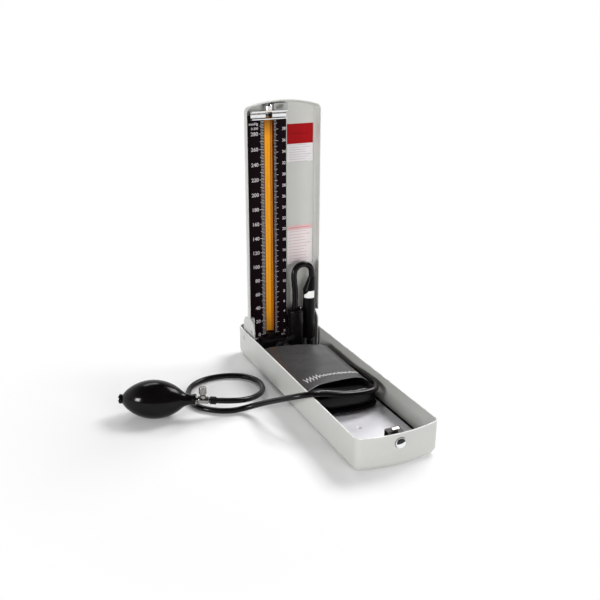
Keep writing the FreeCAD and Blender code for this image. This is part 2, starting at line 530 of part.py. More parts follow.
BULB_HOSE = [
    (B_OUT.x, B_OUT.y, B_OUT.z), (45.2, 49.0, 19.6), (46.0, 31.0, 23.4), (46.2, 6.0, 27.0),
    (45.8, -20.0, 30.0), (43.6, -42.0, 31.8), (33.0, -57.0, 32.6), (15.0, -63.0, 33.4), (-3.0, -62.5, 36.0),
    (-20.5, -63.0, 40.4), (-36.0, -66.5, 45.0), (-52.0, -67.5, 47.4), (-66.0, -59.0, 43.6),
    (-76.0, -43.0, 34.8), (-84.0, -24.5, 24.6), (-92.5, -7.5, 14.6), (-105.0, 5.0, 6.4),
    (-120.0, 9.0, 3.6), (-136.5, 15.5, 3.6), (-152.0, 29.0, 3.6),
    (-161.0, 50.0, 3.6), (-158.0, 74.0, 3.6), (-146.0, 94.5, 3.6), (-124.0, 105.5, 3.6), (-97.0, 104.5, 3.6),
    (-74.5, 93.5, 3.6), (-62.5, 74.0, 3.6), (-64.0, 52.0, 4.4), (-73.0, 33.5, 7.6), (-86.0, 18.5, 11.4),
    (-101.0, 9.5, 14.6), (-115.5, 8.2, 16.6), (-128.5, 10.6, 17.9),
]


def make_bulb():
    """Hollow hand bulb with its intake valve; its barrel is an arc, hollowed by a concentric one."""
    low = BARREL_R - CROWN_R
    s_a, s_b = 10.0, 74.0
    r_a = low + math.sqrt(CROWN_R ** 2 - (s_a - BARREL_S) ** 2)
    r_b = low + math.sqrt(CROWN_R ** 2 - (s_b - BARREL_S) ** 2)
    reach = math.sqrt((CROWN_R - BULB_WALL) ** 2 - (BULB_BORE - low) ** 2)
    profile = [(0, BULB_BORE), (0, 5.7), (1.8, 5.7), (3.6, 5.2), (6.5, 8.95, s_a, r_a),
               (BARREL_S, BARREL_R, s_b, r_b), (79.1, 7.5, 85.0, 6.4), (87.0, 6.4), (89.0, 6.9),
               (BULB_END, 6.9), (BULB_END, BULB_BORE), (BARREL_S + reach, BULB_BORE),
               (BARREL_S, BARREL_R - BULB_WALL, BARREL_S - reach, BULB_BORE)]
    save("bulb", turned(profile, BULB_P, BULB_D))
    save("intake_valve", turned([(-1.0, 1.0), (-1.0, 3.9), (-0.2, 4.2), (0.0, 4.2), (0.0, 3.0), (6.6, 3.0),
                                 (6.6, 2.3), (1.4, 2.3), (1.4, 1.0)], BULB_P, BULB_D))
    save("intake_valve_disc", turned([(1.4, 0), (1.4, 2.1), (2.3, 2.1), (2.3, 0)], BULB_P, BULB_D))


def make_release_valve():
    """Release valve in the bulb's neck: body, screwed needle, knurled thumb knob and the hose's ferrule."""
    up = V(0, 0, 1)
    c = VALVE_P + VALVE_D * 6.8
    needle_r, knob_r, knob_z, knob_h = 1.7, 4.6, 8.4, 8.6
    spigot = turned([(78.0, 0), (78.0, 2.4), (79.0, BULB_BORE), (94.0, BULB_BORE), (94.0, 0)], BULB_P, BULB_D)
    barrel = [(0, 0), (0, 3.6), (1.2, 4.4), (12.4, 4.4), (13.4, 3.8), (15.0, 3.0), (21.8, 3.0), (21.8, 0)]
    body = turned(barrel, VALVE_P, VALVE_D)
    tower = turned([(0, 0), (0, 3.5), (6.6, 3.5), (7.4, 2.9), (7.4, 0)], c, up)
    body = body.fuse([tower, spigot]).cut(rod(needle_r + 0.06, c + up * 0.9, c + up * 9.0))
    save("release_valve_body", body.removeSplitter())
    save("release_valve_needle", turned([(1.2, 0), (3.1, needle_r), (15.2, needle_r), (15.2, 0)], c, up))
    knob = Part.makeCylinder(knob_r, knob_h, c + up * knob_z)
    knob = knob.makeFillet(0.8, edges_where(knob, lambda b: b.ZLength < 1e-3))
    grooves = 12
    for k in range(grooves):
        a = 2 * math.pi * k / grooves
        foot = c + V((knob_r + 0.15) * math.cos(a), (knob_r + 0.15) * math.sin(a), knob_z + 1.8)
        knob = knob.cut(Part.makeCylinder(0.5, knob_h - 3.6, foot))
    save("release_valve_knob", knob.cut(rod(needle_r + 0.05, c + up * 8.0, c + up * 15.25)))
    ferrule_a, ferrule_b = VALVE_P + VALVE_D * 15.2, VALVE_P + VALVE_D * 22.4
    save("hose_ferrule", ring(4.6, 3.05, ferrule_a, ferrule_b))
    route = BULB_HOSE + [(ferrule_b.x, ferrule_b.y, ferrule_b.z)]
    save("bulb_hose", tube_along(route, D_HOSE, "bulb_hose"))


make_tray()
make_floor_plate()
make_hinge_bracket()
make_bracket_fasteners()
make_latch()
make_lid()
make_lid_catch()
make_scale()
make_tube()
make_reservoir()
make_stopcock()
make_manometer_hose()
make_cuff()
make_cuff_outlets()
make_bulb()
make_release_valve()
print(len(NODES), "nodes")
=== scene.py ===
"""Look of a desk mercury sphygmomanometer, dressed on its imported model.

Every length is in metres. +X points to the right of someone who faces the scale, +Y to the back and +Z up.
"""
import logging
import math
from dataclasses import astuple, dataclass
from enum import Enum
from typing import Callable, ClassVar, Sequence

import bmesh
import bpy
import numpy as np
from mathutils import Euler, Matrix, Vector


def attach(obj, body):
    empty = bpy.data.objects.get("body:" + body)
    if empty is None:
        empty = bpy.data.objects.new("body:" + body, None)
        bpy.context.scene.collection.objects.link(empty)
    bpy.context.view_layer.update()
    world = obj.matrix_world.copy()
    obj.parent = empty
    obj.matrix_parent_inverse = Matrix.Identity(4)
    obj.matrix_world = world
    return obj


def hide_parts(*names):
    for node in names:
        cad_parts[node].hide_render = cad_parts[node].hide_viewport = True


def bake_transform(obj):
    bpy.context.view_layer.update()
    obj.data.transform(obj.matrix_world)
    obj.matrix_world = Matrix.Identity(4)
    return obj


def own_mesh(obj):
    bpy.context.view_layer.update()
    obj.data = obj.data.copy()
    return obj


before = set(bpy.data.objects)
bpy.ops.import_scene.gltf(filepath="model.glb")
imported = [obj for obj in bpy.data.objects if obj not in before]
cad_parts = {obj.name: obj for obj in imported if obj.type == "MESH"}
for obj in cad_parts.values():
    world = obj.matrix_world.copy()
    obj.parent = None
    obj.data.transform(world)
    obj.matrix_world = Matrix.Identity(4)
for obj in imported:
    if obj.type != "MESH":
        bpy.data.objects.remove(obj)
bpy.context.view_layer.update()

LOG = logging.getLogger("sphygmomanometer")
MM = 0.001
MMHG_PER_KPA = 7.5006
Array = np.ndarray
Point = tuple[float, float, float]
Edge = Callable[[Array], Array]


class Body(str, Enum):
    """Moving bodies that new pieces ride on."""
    CASE = "case"
    LID = "lid"


class Align(str, Enum):
    """Part of a printed word that stands at its given place."""
    RIGHT = "RIGHT"
    CENTER = "CENTER"


# ---------------------------------------------------------------- surfaces
def linked(name: str, data: bpy.types.ID) -> bpy.types.Object:
    """New object in the scene for a mesh, a curve, a text, a light or a camera.

    Args:
        name: plain name of the object.
        data: what it holds.

    Returns:
        The linked object.
    """
    obj = bpy.data.objects.new(name, data)
    bpy.context.scene.collection.objects.link(obj)
    return obj


def mesh_object(name: str, verts: Array, faces: Sequence[Sequence[int]],
                smooth: bool = True) -> bpy.types.Object:
    """Put vertices and faces into a new mesh object at the origin.

    Args:
        name: plain name of the piece.
        verts: vertices, in metres; the last axis holds x, y and z.
        faces: vertex indices of each face.
        smooth: shade the faces smoothly.

    Returns:
        The linked object.
    """
    mesh = bpy.data.meshes.new(name)
    mesh.from_pydata(np.asarray(verts, float).reshape(-1, 3).tolist(), [], [list(map(int, f)) for f in faces])
    mesh.polygons.foreach_set("use_smooth", np.full(len(mesh.polygons), smooth))
    mesh.update()
    return linked(name, mesh)


def grid_faces(rows: int, cols: int, wrap: bool = False, base: int = 0) -> Array:
    """Quads of a grid of vertices numbered row by row.

    Args:
        rows: number of rows of vertices.
        cols: number of vertices in a row.
        wrap: join the last vertex of a row to its first.
        base: number of the grid's first vertex.

    Returns:
        Array of shape (faces, 4).
    """
    i, j = np.meshgrid(np.arange(rows - 1), np.arange(cols if wrap else cols - 1), indexing="ij")
    here, beside = i * cols + j, i * cols + (j + 1) % cols
    return np.stack([here, beside, beside + cols, here + cols], axis=-1).reshape(-1, 4) + base


def boxes_mesh(name: str, lows: Array, highs: Array) -> bpy.types.Object:
    """Many small boxes in one mesh, each given by its lowest and highest corner.

    Args:
        name: plain name of the piece.
        lows: array of shape (n, 3).
        highs: array of shape (n, 3).

    Returns:
        The linked object.
    """
    square = np.array([[0, 0], [1, 0], [1, 1], [0, 1]])
    pick = np.vstack([np.insert(square, 2, level, axis=1) for level in (0, 1)])
    quads = np.array([[0, 3, 2, 1], [4, 5, 6, 7], [0, 1, 5, 4], [1, 2, 6, 5], [2, 3, 7, 6], [3, 0, 4, 7]])
    verts = lows[:, None, :] * (1 - pick) + highs[:, None, :] * pick
    faces = (quads[None] + len(pick) * np.arange(len(lows))[:, None, None]).reshape(-1, 4)
    return mesh_object(name, verts, faces, smooth=False)


def value_noise(x: Array, y: Array, seed: int, octaves: int = 3) -> Array:
    """Smooth pseudo-random field: a sum of turned sine waves whose phases come from a seed.

    Each octave adds five waves of the form sin(k (x cos a + y sin a) + p), with twice the frequency and
    half the height of the octave before it.

    Args:
        x: first coordinate, any shape.
        y: second coordinate, same shape.
        seed: picks the waves.
        octaves: number of octaves.

    Returns:
        Array of the same shape, about -1 to 1.
    """
    count, gain = 5, 1.8
    rng = np.random.default_rng(seed)
    total = np.zeros_like(x, dtype=float)
    weight, scale = 0.5, 1.0
    for _ in range(octaves):
        angle = rng.uniform(0, 2 * np.pi, count)
        phase = rng.uniform(0, 2 * np.pi, count)
        stretch = rng.uniform(0.7, 1.4, count)
        along = x[..., None] * np.cos(angle) + y[..., None] * np.sin(angle)
        total += weight * np.sin(scale * stretch * along + phase).mean(axis=-1) * gain
        weight, scale = weight * 0.5, scale * 2.0
    return total


def eased(value: Array, start: float, length: float) -> Array:
    """0 up to start and 1 from a length past it, with 3 s^2 - 2 s^3 between them."""
    s = np.clip((value - start) / length, 0, 1)
    return s * s * (3 - 2 * s)


def vertices_of(mesh: bpy.types.Mesh) -> Array:
    """Read the places of a mesh's vertices.

    Args:
        mesh: the mesh.

    Returns:
        Array of shape (n, 3), in metres.
    """
    points = np.empty(len(mesh.vertices) * 3)
    mesh.vertices.foreach_get("co", points)
    return points.reshape(-1, 3)


def as_mesh(obj: bpy.types.Object) -> bpy.types.Mesh:
    """Mesh that a curve or a text makes; the caller removes it."""
    bpy.context.view_layer.update()
    return bpy.data.meshes.new_from_object(obj.evaluated_get(bpy.context.evaluated_depsgraph_get()))


def tidy_closed(obj: bpy.types.Object, distance: float = 1e-6) -> None:
    """Merge doubled vertices, close open rims and turn every face outwards.

    Args:
        obj: the mesh object to mend.
        distance: vertices nearer than this are merged.
    """
    bm = bmesh.new()
    bm.from_mesh(obj.data)
    bmesh.ops.remove_doubles(bm, verts=bm.verts, dist=distance)
    bmesh.ops.dissolve_degenerate(bm, dist=distance, edges=bm.edges)
    rims = [e for e in bm.edges if e.is_boundary]
    if rims:
        bmesh.ops.holes_fill(bm, edges=rims, sides=0)
    bmesh.ops.recalc_face_normals(bm, faces=bm.faces)
    bm.to_mesh(obj.data)
    bm.free()


# ---------------------------------------------------------------- shader nodes
class Value:
    """Output of a shader node. A sign of arithmetic or comparison on it adds a Math node to its tree."""

    def __init__(self, tree: "Tree", socket: bpy.types.NodeSocket) -> None:
        """Keep the tree and the socket."""
        self.tree, self.socket = tree, socket

    def __add__(self, other: "Value | float") -> "Value":
        """Sum."""
        return self.tree.math("ADD", self, other)

    def __sub__(self, other: "Value | float") -> "Value":
        """Difference."""
        return self.tree.math("SUBTRACT", self, other)

    def __rsub__(self, other: float) -> "Value":
        """A number less this value."""
        return self.tree.math("SUBTRACT", other, self)

    def __mul__(self, other: "Value | float") -> "Value":
        """Product."""
        return self.tree.math("MULTIPLY", self, other)

    def __truediv__(self, other: "Value | float") -> "Value":
        """Quotient."""
        return self.tree.math("DIVIDE", self, other)

    def __gt__(self, other: "Value | float") -> "Value":
        """1 where this value is the greater, and else 0."""
        return self.tree.math("GREATER_THAN", self, other)

    def __lt__(self, other: "Value | float") -> "Value":
        """1 where this value is the lesser, and else 0."""
        return self.tree.math("LESS_THAN", self, other)

    def __abs__(self) -> "Value":
        """Value without its sign."""
        return self.tree.math("ABSOLUTE", self)

    def clamped(self) -> "Value":
        """The same value, held between 0 and 1 by the node that made it."""
        self.socket.node.use_clamp = True
        return self


def rgba(colour: "Value | Point") -> "Value | tuple[float, ...]":
    """Colour with full alpha; a node's output stays as it is."""
    return colour if isinstance(colour, Value) else (*colour, 1.0)


def grey(level: float) -> Point:
    """Neutral colour of a level."""
    return level, level, level


def times(colour: Point, factor: float) -> Point:
    """Colour with every part multiplied by a factor, up to 1."""
    return tuple(min(1.0, part * factor) for part in colour)


class Tree:
    """Adds and links nodes in one shader tree."""

    def __init__(self, tree: bpy.types.NodeTree) -> None:
        """Keep the tree."""
        self.tree = tree

    def put(self, value: object, socket: bpy.types.NodeSocket) -> None:
        """Link a value to a socket, or set the socket to a constant."""
        if isinstance(value, Value):
            self.tree.links.new(value.socket, socket)
        else:
            socket.default_value = value

    def add(self, kind: str, **values: object) -> bpy.types.Node:
        """Add a node; a value is a property, or an input when its name starts with in_.

        Args:
            kind: the node's type name.
            values: properties and inputs to set or link.

        Returns:
            The node.
        """
        node = self.tree.nodes.new(kind)
        for key, value in values.items():
            if not key.startswith("in_"):
                setattr(node, key, value)
        for key, value in values.items():
            if key.startswith("in_"):
                name = key[3:].replace("_", " ")
                self.put(value, node.inputs[int(name)] if name.isdigit() else node.inputs[name])
        return node

    def value(self, kind: str, output: "int | str" = 0, **values: object) -> Value:
        """Add a node and take one of its outputs."""
        return Value(self, self.add(kind, **values).outputs[output])

    def values(self, kind: str, **values: object) -> list[Value]:
        """Add a node and take all its outputs."""
        return [Value(self, socket) for socket in self.add(kind, **values).outputs]

    def math(self, operation: str, a: "Value | float", b: "Value | float" = 0.0) -> Value:
        """Result of a Math node."""
        return self.value("ShaderNodeMath", operation=operation, in_0=a, in_1=b)

    def length(self, a: Value, b: Value) -> Value:
        """Square root of the sum of two squares."""
        return self.math("SQRT", self.math("POWER", a, 2.0) + self.math("POWER", b, 2.0))

    def ramp(self, value: Value, low: float, high: float) -> Value:
        """Value stretched so that low gives 0 and high gives 1, clamped."""
        return self.value("ShaderNodeMapRange", in_Value=value, in_From_Min=low, in_From_Max=high)

    def mix(self, factor: "Value | float", a: "Value | Point", b: "Value | Point") -> Value:
        """Colour between a and b."""
        return self.value("ShaderNodeMix", 2, data_type="RGBA", in_0=factor, in_6=rgba(a), in_7=rgba(b))

    def noise(self, vector: Value, scale: "Value | float", detail: float = 3.0,
              roughness: float = 0.5) -> Value:
        """Value of a noise texture."""
        return self.value("ShaderNodeTexNoise", in_Vector=vector, in_Scale=scale, in_Detail=detail,
                          in_Roughness=roughness)

    def split(self, vector: Value) -> list[Value]:
        """The x, y and z of a vector."""
        return self.values("ShaderNodeSeparateXYZ", in_0=vector)

    def rays(self, *kinds: str) -> Value:
        """1 for rays of any of the named kinds, and else 0.

        Args:
            kinds: kinds of rays, such as Camera or Glossy.

        Returns:
            The greatest of what the Light Path says of them.
        """
        path = self.add("ShaderNodeLightPath").outputs
        found = Value(self, path[f"Is {kinds[0]} Ray"])
        for kind in kinds[1:]:
            found = self.math("MAXIMUM", found, Value(self, path[f"Is {kind} Ray"]))
        return found

    def effect(self, group: bpy.types.NodeTree, where: Value, number: float) -> list[Value]:
        """Place a shared group with its vector and its number, and take its outputs."""
        return self.values("ShaderNodeGroup", node_tree=group, in_0=where, in_1=number)

    def put_out(self, *values: Value) -> bpy.types.NodeTree:
        """Link values to a group's outputs in their order, and give back the group.

        Args:
            values: what the group puts out, in order.

        Returns:
            The finished group.
        """
        out = self.add("NodeGroupOutput")
        for value, socket in zip(values, out.inputs):
            self.put(value, socket)
        return self.tree


def new_group(name: str, number: str, default: float, outputs: Sequence[str]) -> tuple[Tree, Value, Value]:
    """Start a shader node group that takes a vector and a number and puts out numbers.

    Args:
        name: the group's name.
        number: name of the number it takes.
        default: the number's default.
        outputs: names of what it puts out.

    Returns:
        The group's tree, its vector and its number.
    """
    group = bpy.data.node_groups.new(name, "ShaderNodeTree")
    group.interface.new_socket("Vector", in_out="INPUT", socket_type="NodeSocketVector")
    group.interface.new_socket(number, in_out="INPUT", socket_type="NodeSocketFloat").default_value = default
    for label in outputs:
        group.interface.new_socket(label, in_out="OUTPUT", socket_type="NodeSocketFloat")
    t = Tree(group)
    vector, amount = t.values("NodeGroupInput")[:2]
    return t, vector, amount


def grain_group() -> bpy.types.NodeTree:
    """Fine moulded or sprayed grain.

    Its height is fine noise on coarser noise, and its mottle is a slow noise for colour and roughness.

    Returns:
        The group.
    """
    t, vector, scale = new_group("fine_grain", "Scale", 1500.0, ("Height", "Mottle"))
    height = t.noise(vector, scale, 2.0) * 0.6 + t.noise(vector, 220.0) * 0.4
    return t.put_out(height, t.ramp(t.noise(vector, 26.0, 4.0, 0.6), 0.3, 0.7))


def dust_group() -> bpy.types.NodeTree:
    """Dust that gathers on what faces up.

    The mask is the upward part of the normal times two scales of noise.

    Returns:
        The group.
    """
    t, vector, amount = new_group("settled_dust", "Amount", 0.3, ("Mask",))
    up = t.ramp(t.split(t.value("ShaderNodeNewGeometry", "Normal"))[2], 0.2, 1.0)
    cloud = t.ramp(t.noise(vector, 60.0, 5.0, 0.65), 0.4, 0.75)
    specks = t.ramp(t.noise(vector, 1400.0, 1.0), 0.62, 0.74)
    return t.put_out(((cloud * 0.5 + specks * 0.7) * up * amount).clamped())


def scuff_group() -> bpy.types.NodeTree:
    """Fine scratches and rubs.

    Two stretched noises crossed at a small angle give hairlines; a slow noise says where they show.

    Returns:
        The group.
    """
    t, vector, amount = new_group("hairline_scuffs", "Amount", 0.4, ("Mask", "Height"))
    lines = []
    for angle, count in ((0.12, 900.0), (1.35, 700.0)):
        turned = t.value("ShaderNodeMapping", in_Vector=vector, in_Rotation=(angle * 0.4, 0.2, angle),
                         in_Scale=(0.03, 1.0, 1.0))
        lines.append(t.ramp(t.noise(turned, count, 1.0), 0.66, 0.72))
    both = t.math("MAXIMUM", *lines) * t.ramp(t.noise(vector, 35.0, 3.0, 0.6), 0.5, 0.7)
    return t.put_out((both * amount).clamped(), both * -1.0)


def weave_group() -> bpy.types.NodeTree:
    """Plain weave of fine threads.

    With a and b the two directions in thread counts, the height is the larger of two rounded thread
    profiles, each lifted where sin(pi a) sin(pi b) has its sign.

    Returns:
        The group.
    """
    t, vector, threads = new_group("plain_weave", "Threads", 1400.0, ("Height", "Shade"))
    x, y, z = t.split(vector)
    warp, weft = (t.math("SINE", (along + z * 0.5) * threads * math.pi) for along in (x, y))
    over = warp * weft
    height = t.math("MAXIMUM", abs(warp) + over, abs(weft) - over)
    return t.put_out(height, t.ramp(over, -1.0, 1.0))


class Groups:
    """The shared node groups, each built once."""

    def __init__(self) -> None:
        """Build them."""
        self.grain = grain_group()
        self.dust = dust_group()
        self.scuffs = scuff_group()
        self.weave = weave_group()


@dataclass(frozen=True)
class Surface:
    """What a finish does to its shader: colour, roughness, height of the bump and the bump's strength."""
    tone: Value
    rough: Value
    height: Value
    strength: float = 1.0


def new_material(name: str, colour: Sequence[float]) -> tuple[bpy.types.Material, Tree]:
    """Start a material.

    Args:
        name: the finish's name.
        colour: its colour and alpha in a plain viewport.

    Returns:
        The material and its tree.
    """
    material = bpy.data.materials.new(name)
    material.use_nodes = True
    material.diffuse_color = colour
    return material, Tree(material.node_tree)


@dataclass(frozen=True)
class Finish:
    """One finish: the constants of its Principled shader and the strength of its surface effects.

    Sizes of the effects are in metres, and grain is in counts per metre.
    """
    name: str
    colour: Point
    roughness: float = 0.5
    metallic: float = 0.0
    coat: float = 0.0
    coat_roughness: float = 0.1
    specular: float = 0.5
    sheen: float = 0.0
    grain: float = 1500.0
    bump: float = 0.0
    bump_depth: float = 0.00005
    mottle: float = 0.06
    dust: float = 0.0
    dust_colour: Point = (0.55, 0.54, 0.52)
    scuffs: float = 0.0
    scuff_colour: Point = (0.6, 0.6, 0.6)
    rough_spread: float = 0.12
    dust_rough: float = 0.3
    scuff_depth: float = 0.4

    def tone(self, t: Tree, shader: bpy.types.Node, where: Value) -> "Value | Point":
        """Colour before the effects; a plain finish has only one."""
        return self.colour

    def surface(self, t: Tree, where: Value, groups: Groups, tone: "Value | Point") -> Surface:
        """Work grain, mottle, scuffs and dust into colour, roughness and height.

        Args:
            t: the material's tree.
            where: coordinates that the effects follow.
            groups: the shared groups.
            tone: the colour before the effects.

        Returns:
            The surface.
        """
        grain, mottle = t.effect(groups.grain, where, self.grain)
        tone = t.value("ShaderNodeHueSaturation", in_Color=rgba(tone),
                       in_Value=mottle * self.mottle + (1 - self.mottle / 2))
        rough = (mottle * self.rough_spread + (self.roughness - self.rough_spread / 2)).clamped()
        height = grain * self.bump
        if self.scuffs:
            mask, dent = t.effect(groups.scuffs, where, self.scuffs)
            tone = t.mix(mask, tone, self.scuff_colour)
            height = height + dent * (self.scuffs * self.scuff_depth)
        if self.dust:
            mask = t.effect(groups.dust, where, self.dust)[0]
            tone = t.mix(mask, tone, self.dust_colour)
            rough = (rough + mask * self.dust_rough).clamped()
        return Surface(tone, rough, height)

    def normal(self, t: Tree, where: Value, surface: Surface) -> Value:
        """Normal that the surface's height gives."""
        return t.value("ShaderNodeBump", in_Height=surface.height, in_Distance=self.bump_depth,
                       in_Strength=surface.strength)

    def build(self, groups: Groups) -> bpy.types.Material:
        """Make the material: its constants first, and then what changes over the surface.

        Args:
            groups: the shared groups.

        Returns:
            The material.
        """
        material, t = new_material(self.name, rgba(self.colour))
        shader = t.tree.nodes["Principled BSDF"]
        for socket, constant in (("Base Color", rgba(self.colour)), ("Roughness", self.roughness),
                                 ("Metallic", self.metallic), ("Coat Weight", self.coat),
                                 ("Coat Roughness", self.coat_roughness), ("Sheen Weight", self.sheen),
                                 ("Specular IOR Level", self.specular)):
            shader.inputs[socket].default_value = constant
        where = t.value("ShaderNodeTexCoord", "Object")
        surface = self.surface(t, where, groups, self.tone(t, shader, where))
        t.put(surface.tone, shader.inputs["Base Color"])
        t.put(surface.rough, shader.inputs["Roughness"])
        t.put(self.normal(t, where, surface), shader.inputs["Normal"])
        return material


@dataclass(frozen=True)
class TrayEnamel(Finish):
    """Case enamel of the tray, with a painted highlight along its rim and painted shade under the false
    floor.

    The painted highlight grows between two depths below the rim, in patches. The painted shade lies inside
    the round edge of the bottom, where the distance from that edge's axis is less than its radius by the
    inset.
    """
    rim_z: float = 0.042
    rub_depths: tuple[float, float] = (0.0009, 0.0003)
    under_z: float = 0.0088
    side_x: float = 0.041
    corner: float = 0.010
    inset: float = 0.0006
    patch_count: float = 90.0
    end_y: float = 0.1620
    dirt: Point = (0.012, 0.011, 0.010)
    bright: Point = (0.90, 0.90, 0.89)

    def tone(self, t: Tree, shader: bpy.types.Node, where: Value) -> Value:
        """Colour by height, and by the distance from the axis of the floor's round edge.

        Args:
            t: the material's tree.
            shader: its Principled node.
            where: object coordinates.

        Returns:
            The colour before the effects.
        """
        x, y, z = t.split(where)
        # Painted highlight: a band just below the rim is lightened, in patches of noise.
        rim_band = t.ramp(z, *(self.rim_z - depth for depth in self.rub_depths))
        painted_light_mask = rim_band * t.ramp(t.noise(where, self.patch_count), 0.25, 0.55)
        # Painted shade: the inside of the tray's round bottom edge, below the false floor, is darkened.
        off = t.length(t.math("MAXIMUM", abs(x) - self.side_x, 0.0), z - self.corner)
        inside = (off < self.corner - self.inset) * (z < self.under_z) * (abs(y) < self.end_y)
        return t.mix(inside, t.mix(painted_light_mask, self.colour, self.bright), self.dirt)


@dataclass(frozen=True)
class DomedChrome(Finish):
    """Polished face of a button, whose shine bends as on a low dome."""
    centre_x: float = -0.002
    centre_z: float = 0.0278
    dome: float = 110.0

    def normal(self, t: Tree, where: Value, surface: Surface) -> Value:
        """Normal that leans away from the button's middle in proportion to the distance.

        Args:
            t: the material's tree.
            where: object coordinates.
            surface: what the finish does to its shader.

        Returns:
            The leaning normal.
        """
        x, _, z = t.split(where)
        lean = t.value("ShaderNodeCombineXYZ", in_0=(x - self.centre_x) * self.dome, in_1=0.0,
                       in_2=(z - self.centre_z) * self.dome)
        face = t.value("ShaderNodeNewGeometry", "Normal")
        bent = t.value("ShaderNodeVectorMath", operation="ADD", in_0=face, in_1=lean)
        return t.value("ShaderNodeVectorMath", operation="NORMALIZE", in_0=bent)


@dataclass(frozen=True)
class RailChrome(Finish):
    """Chrome of the top rail, with a painted dark reflection along the fold of its upper edge."""
    fold_z: float = 0.3360
    fold_half: float = 0.0011
    fade: float = 0.0006
    ragged: float = 0.0008
    tarnish: Point = (0.24, 0.23, 0.22)

    def tone(self, t: Tree, shader: bpy.types.Node, where: Value) -> Value:
        """Colour by the distance from the fold's height, broken up by noise."""
        # Painted reflection: a dark band along the fold stands in for a dark reflection there.
        off = abs(t.split(where)[2] - self.fold_z) + t.noise(where, 260.0, 2.0) * self.ragged
        return t.mix(t.ramp(off, self.fold_half + self.fade, self.fold_half), self.colour, self.tarnish)


@dataclass(frozen=True)
class CapMetal(Finish):
    """Bright cap whose lower part is non-metallic and painted brown, as painted reflection and shade of the
    orange strip.
    """
    washer_top: float = 0.3400
    washer: Point = (0.75, 0.36, 0.06)

    def tone(self, t: Tree, shader: bpy.types.Node, where: Value) -> Value:
        """Painted brown below a height, and the plating's colour above it, where the cap is metallic.

        Args:
            t: the material's tree.
            shader: its Principled node.
            where: object coordinates.

        Returns:
            The colour before the effects.
        """
        # Painted reflection and shade: below this height the cap is brown, for the orange strip's reflection
        # and shade.
        metal = t.split(where)[2] > self.washer_top
        t.put(metal, shader.inputs["Metallic"])
        return t.mix(metal, self.washer, self.colour)


@dataclass(frozen=True)
class Brushed(Finish):
    """Metal brushed along one direction, rougher inside the plate's round dimple and darkened there as
    painted shade.
    """
    stretch: Point = (1.0, 0.02, 1.0)
    line: float = 900.0
    line_shade: float = 0.93
    line_rough: float = 0.16
    patch_rough: float = 0.08
    dimple: Point = (-0.007, -0.098, 0.0)
    dimple_radius: float = 0.0035
    dimple_edge: float = 0.6
    dimple_shade: float = 0.62
    dimple_rough: float = 0.4

    def surface(self, t: Tree, where: Value, groups: Groups, tone: "Value | Point") -> Surface:
        """Noise stretched along the brushing direction varies colour, roughness and height.

        Args:
            t: the material's tree.
            where: object coordinates.
            groups: the shared groups.
            tone: the colour before the effects.

        Returns:
            The surface.
        """
        along = t.value("ShaderNodeMapping", in_Vector=where, in_Scale=self.stretch)
        lines = t.noise(along, self.line, 3.0, 0.6)
        mottle = t.effect(groups.grain, where, self.grain)[1]
        mask = t.effect(groups.scuffs, where, self.scuffs)[0]
        tone = t.mix(t.ramp(lines, 0.3, 0.7), times(self.colour, self.line_shade), tone)
        tone = t.mix(mask, tone, self.scuff_colour)
        rough = lines * self.line_rough + mottle * self.patch_rough
        rough = (rough + (self.roughness - self.rough_spread)).clamped()
        flat = t.value("ShaderNodeVectorMath", operation="MULTIPLY", in_0=where, in_1=(1.0, 1.0, 0.0))
        reach = t.value("ShaderNodeVectorMath", "Value", operation="DISTANCE", in_0=flat, in_1=self.dimple)
        # Painted shade: the dimple is darkened, and made rougher as well.
        painted_light_mask = t.ramp(reach, self.dimple_radius, self.dimple_radius * self.dimple_edge)
        tone = t.mix(painted_light_mask, tone, times(self.colour, self.dimple_shade))
        return Surface(tone, (rough + painted_light_mask * self.dimple_rough).clamped(), lines, self.bump)


@dataclass(frozen=True)
class Nylon(Finish):
    """Woven nylon of the cuff, with creases in its shine and a ribbed tape where the piece marks one."""
    threads: float = 1500.0
    thread_light: float = 1.7
    thread_height: float = 0.25
    thread_rough: float = 0.14
    fold_height: float = 6.0
    fold_count: float = 55.0
    patch_light: float = 1.25
    patch_weight: float = 0.35
    tape_colour: Point = (0.030, 0.028, 0.030)
    rib_shade: float = 0.6
    rib_count: float = 420.0

    def surface(self, t: Tree, where: Value, groups: Groups, tone: "Value | Point") -> Surface:
        """Weave height on soft folds, lighter threads, the tape, and lint.

        Args:
            t: the material's tree.
            where: object coordinates.
            groups: the shared groups.
            tone: the colour before the effects.

        Returns:
            The surface.
        """
        weave, shade = t.effect(groups.weave, where, self.threads)
        mottle = t.effect(groups.grain, where, self.grain)[1]
        tone = t.mix(shade, tone, times(self.colour, self.thread_light))
        tone = t.mix(mottle * self.patch_weight, tone, times(self.colour, self.patch_light))
        tape = t.value("ShaderNodeAttribute", "Fac", attribute_name="tape")
        ribs = t.ramp(t.math("SINE", t.split(where)[0] * (2 * math.pi * self.rib_count)), -1.0, 1.0)
        tone = t.mix(tape, tone, t.mix(ribs, self.tape_colour, times(self.tape_colour, self.rib_shade)))
        tone = t.mix(t.effect(groups.dust, where, self.dust)[0], tone, self.dust_colour)
        folds = t.noise(where, self.fold_count, 4.0, 0.6)
        height = weave * self.thread_height + folds * self.fold_height
        rough = (shade * self.thread_rough + (self.roughness - self.thread_rough / 2)).clamped()
        return Surface(tone, rough, height, self.bump)


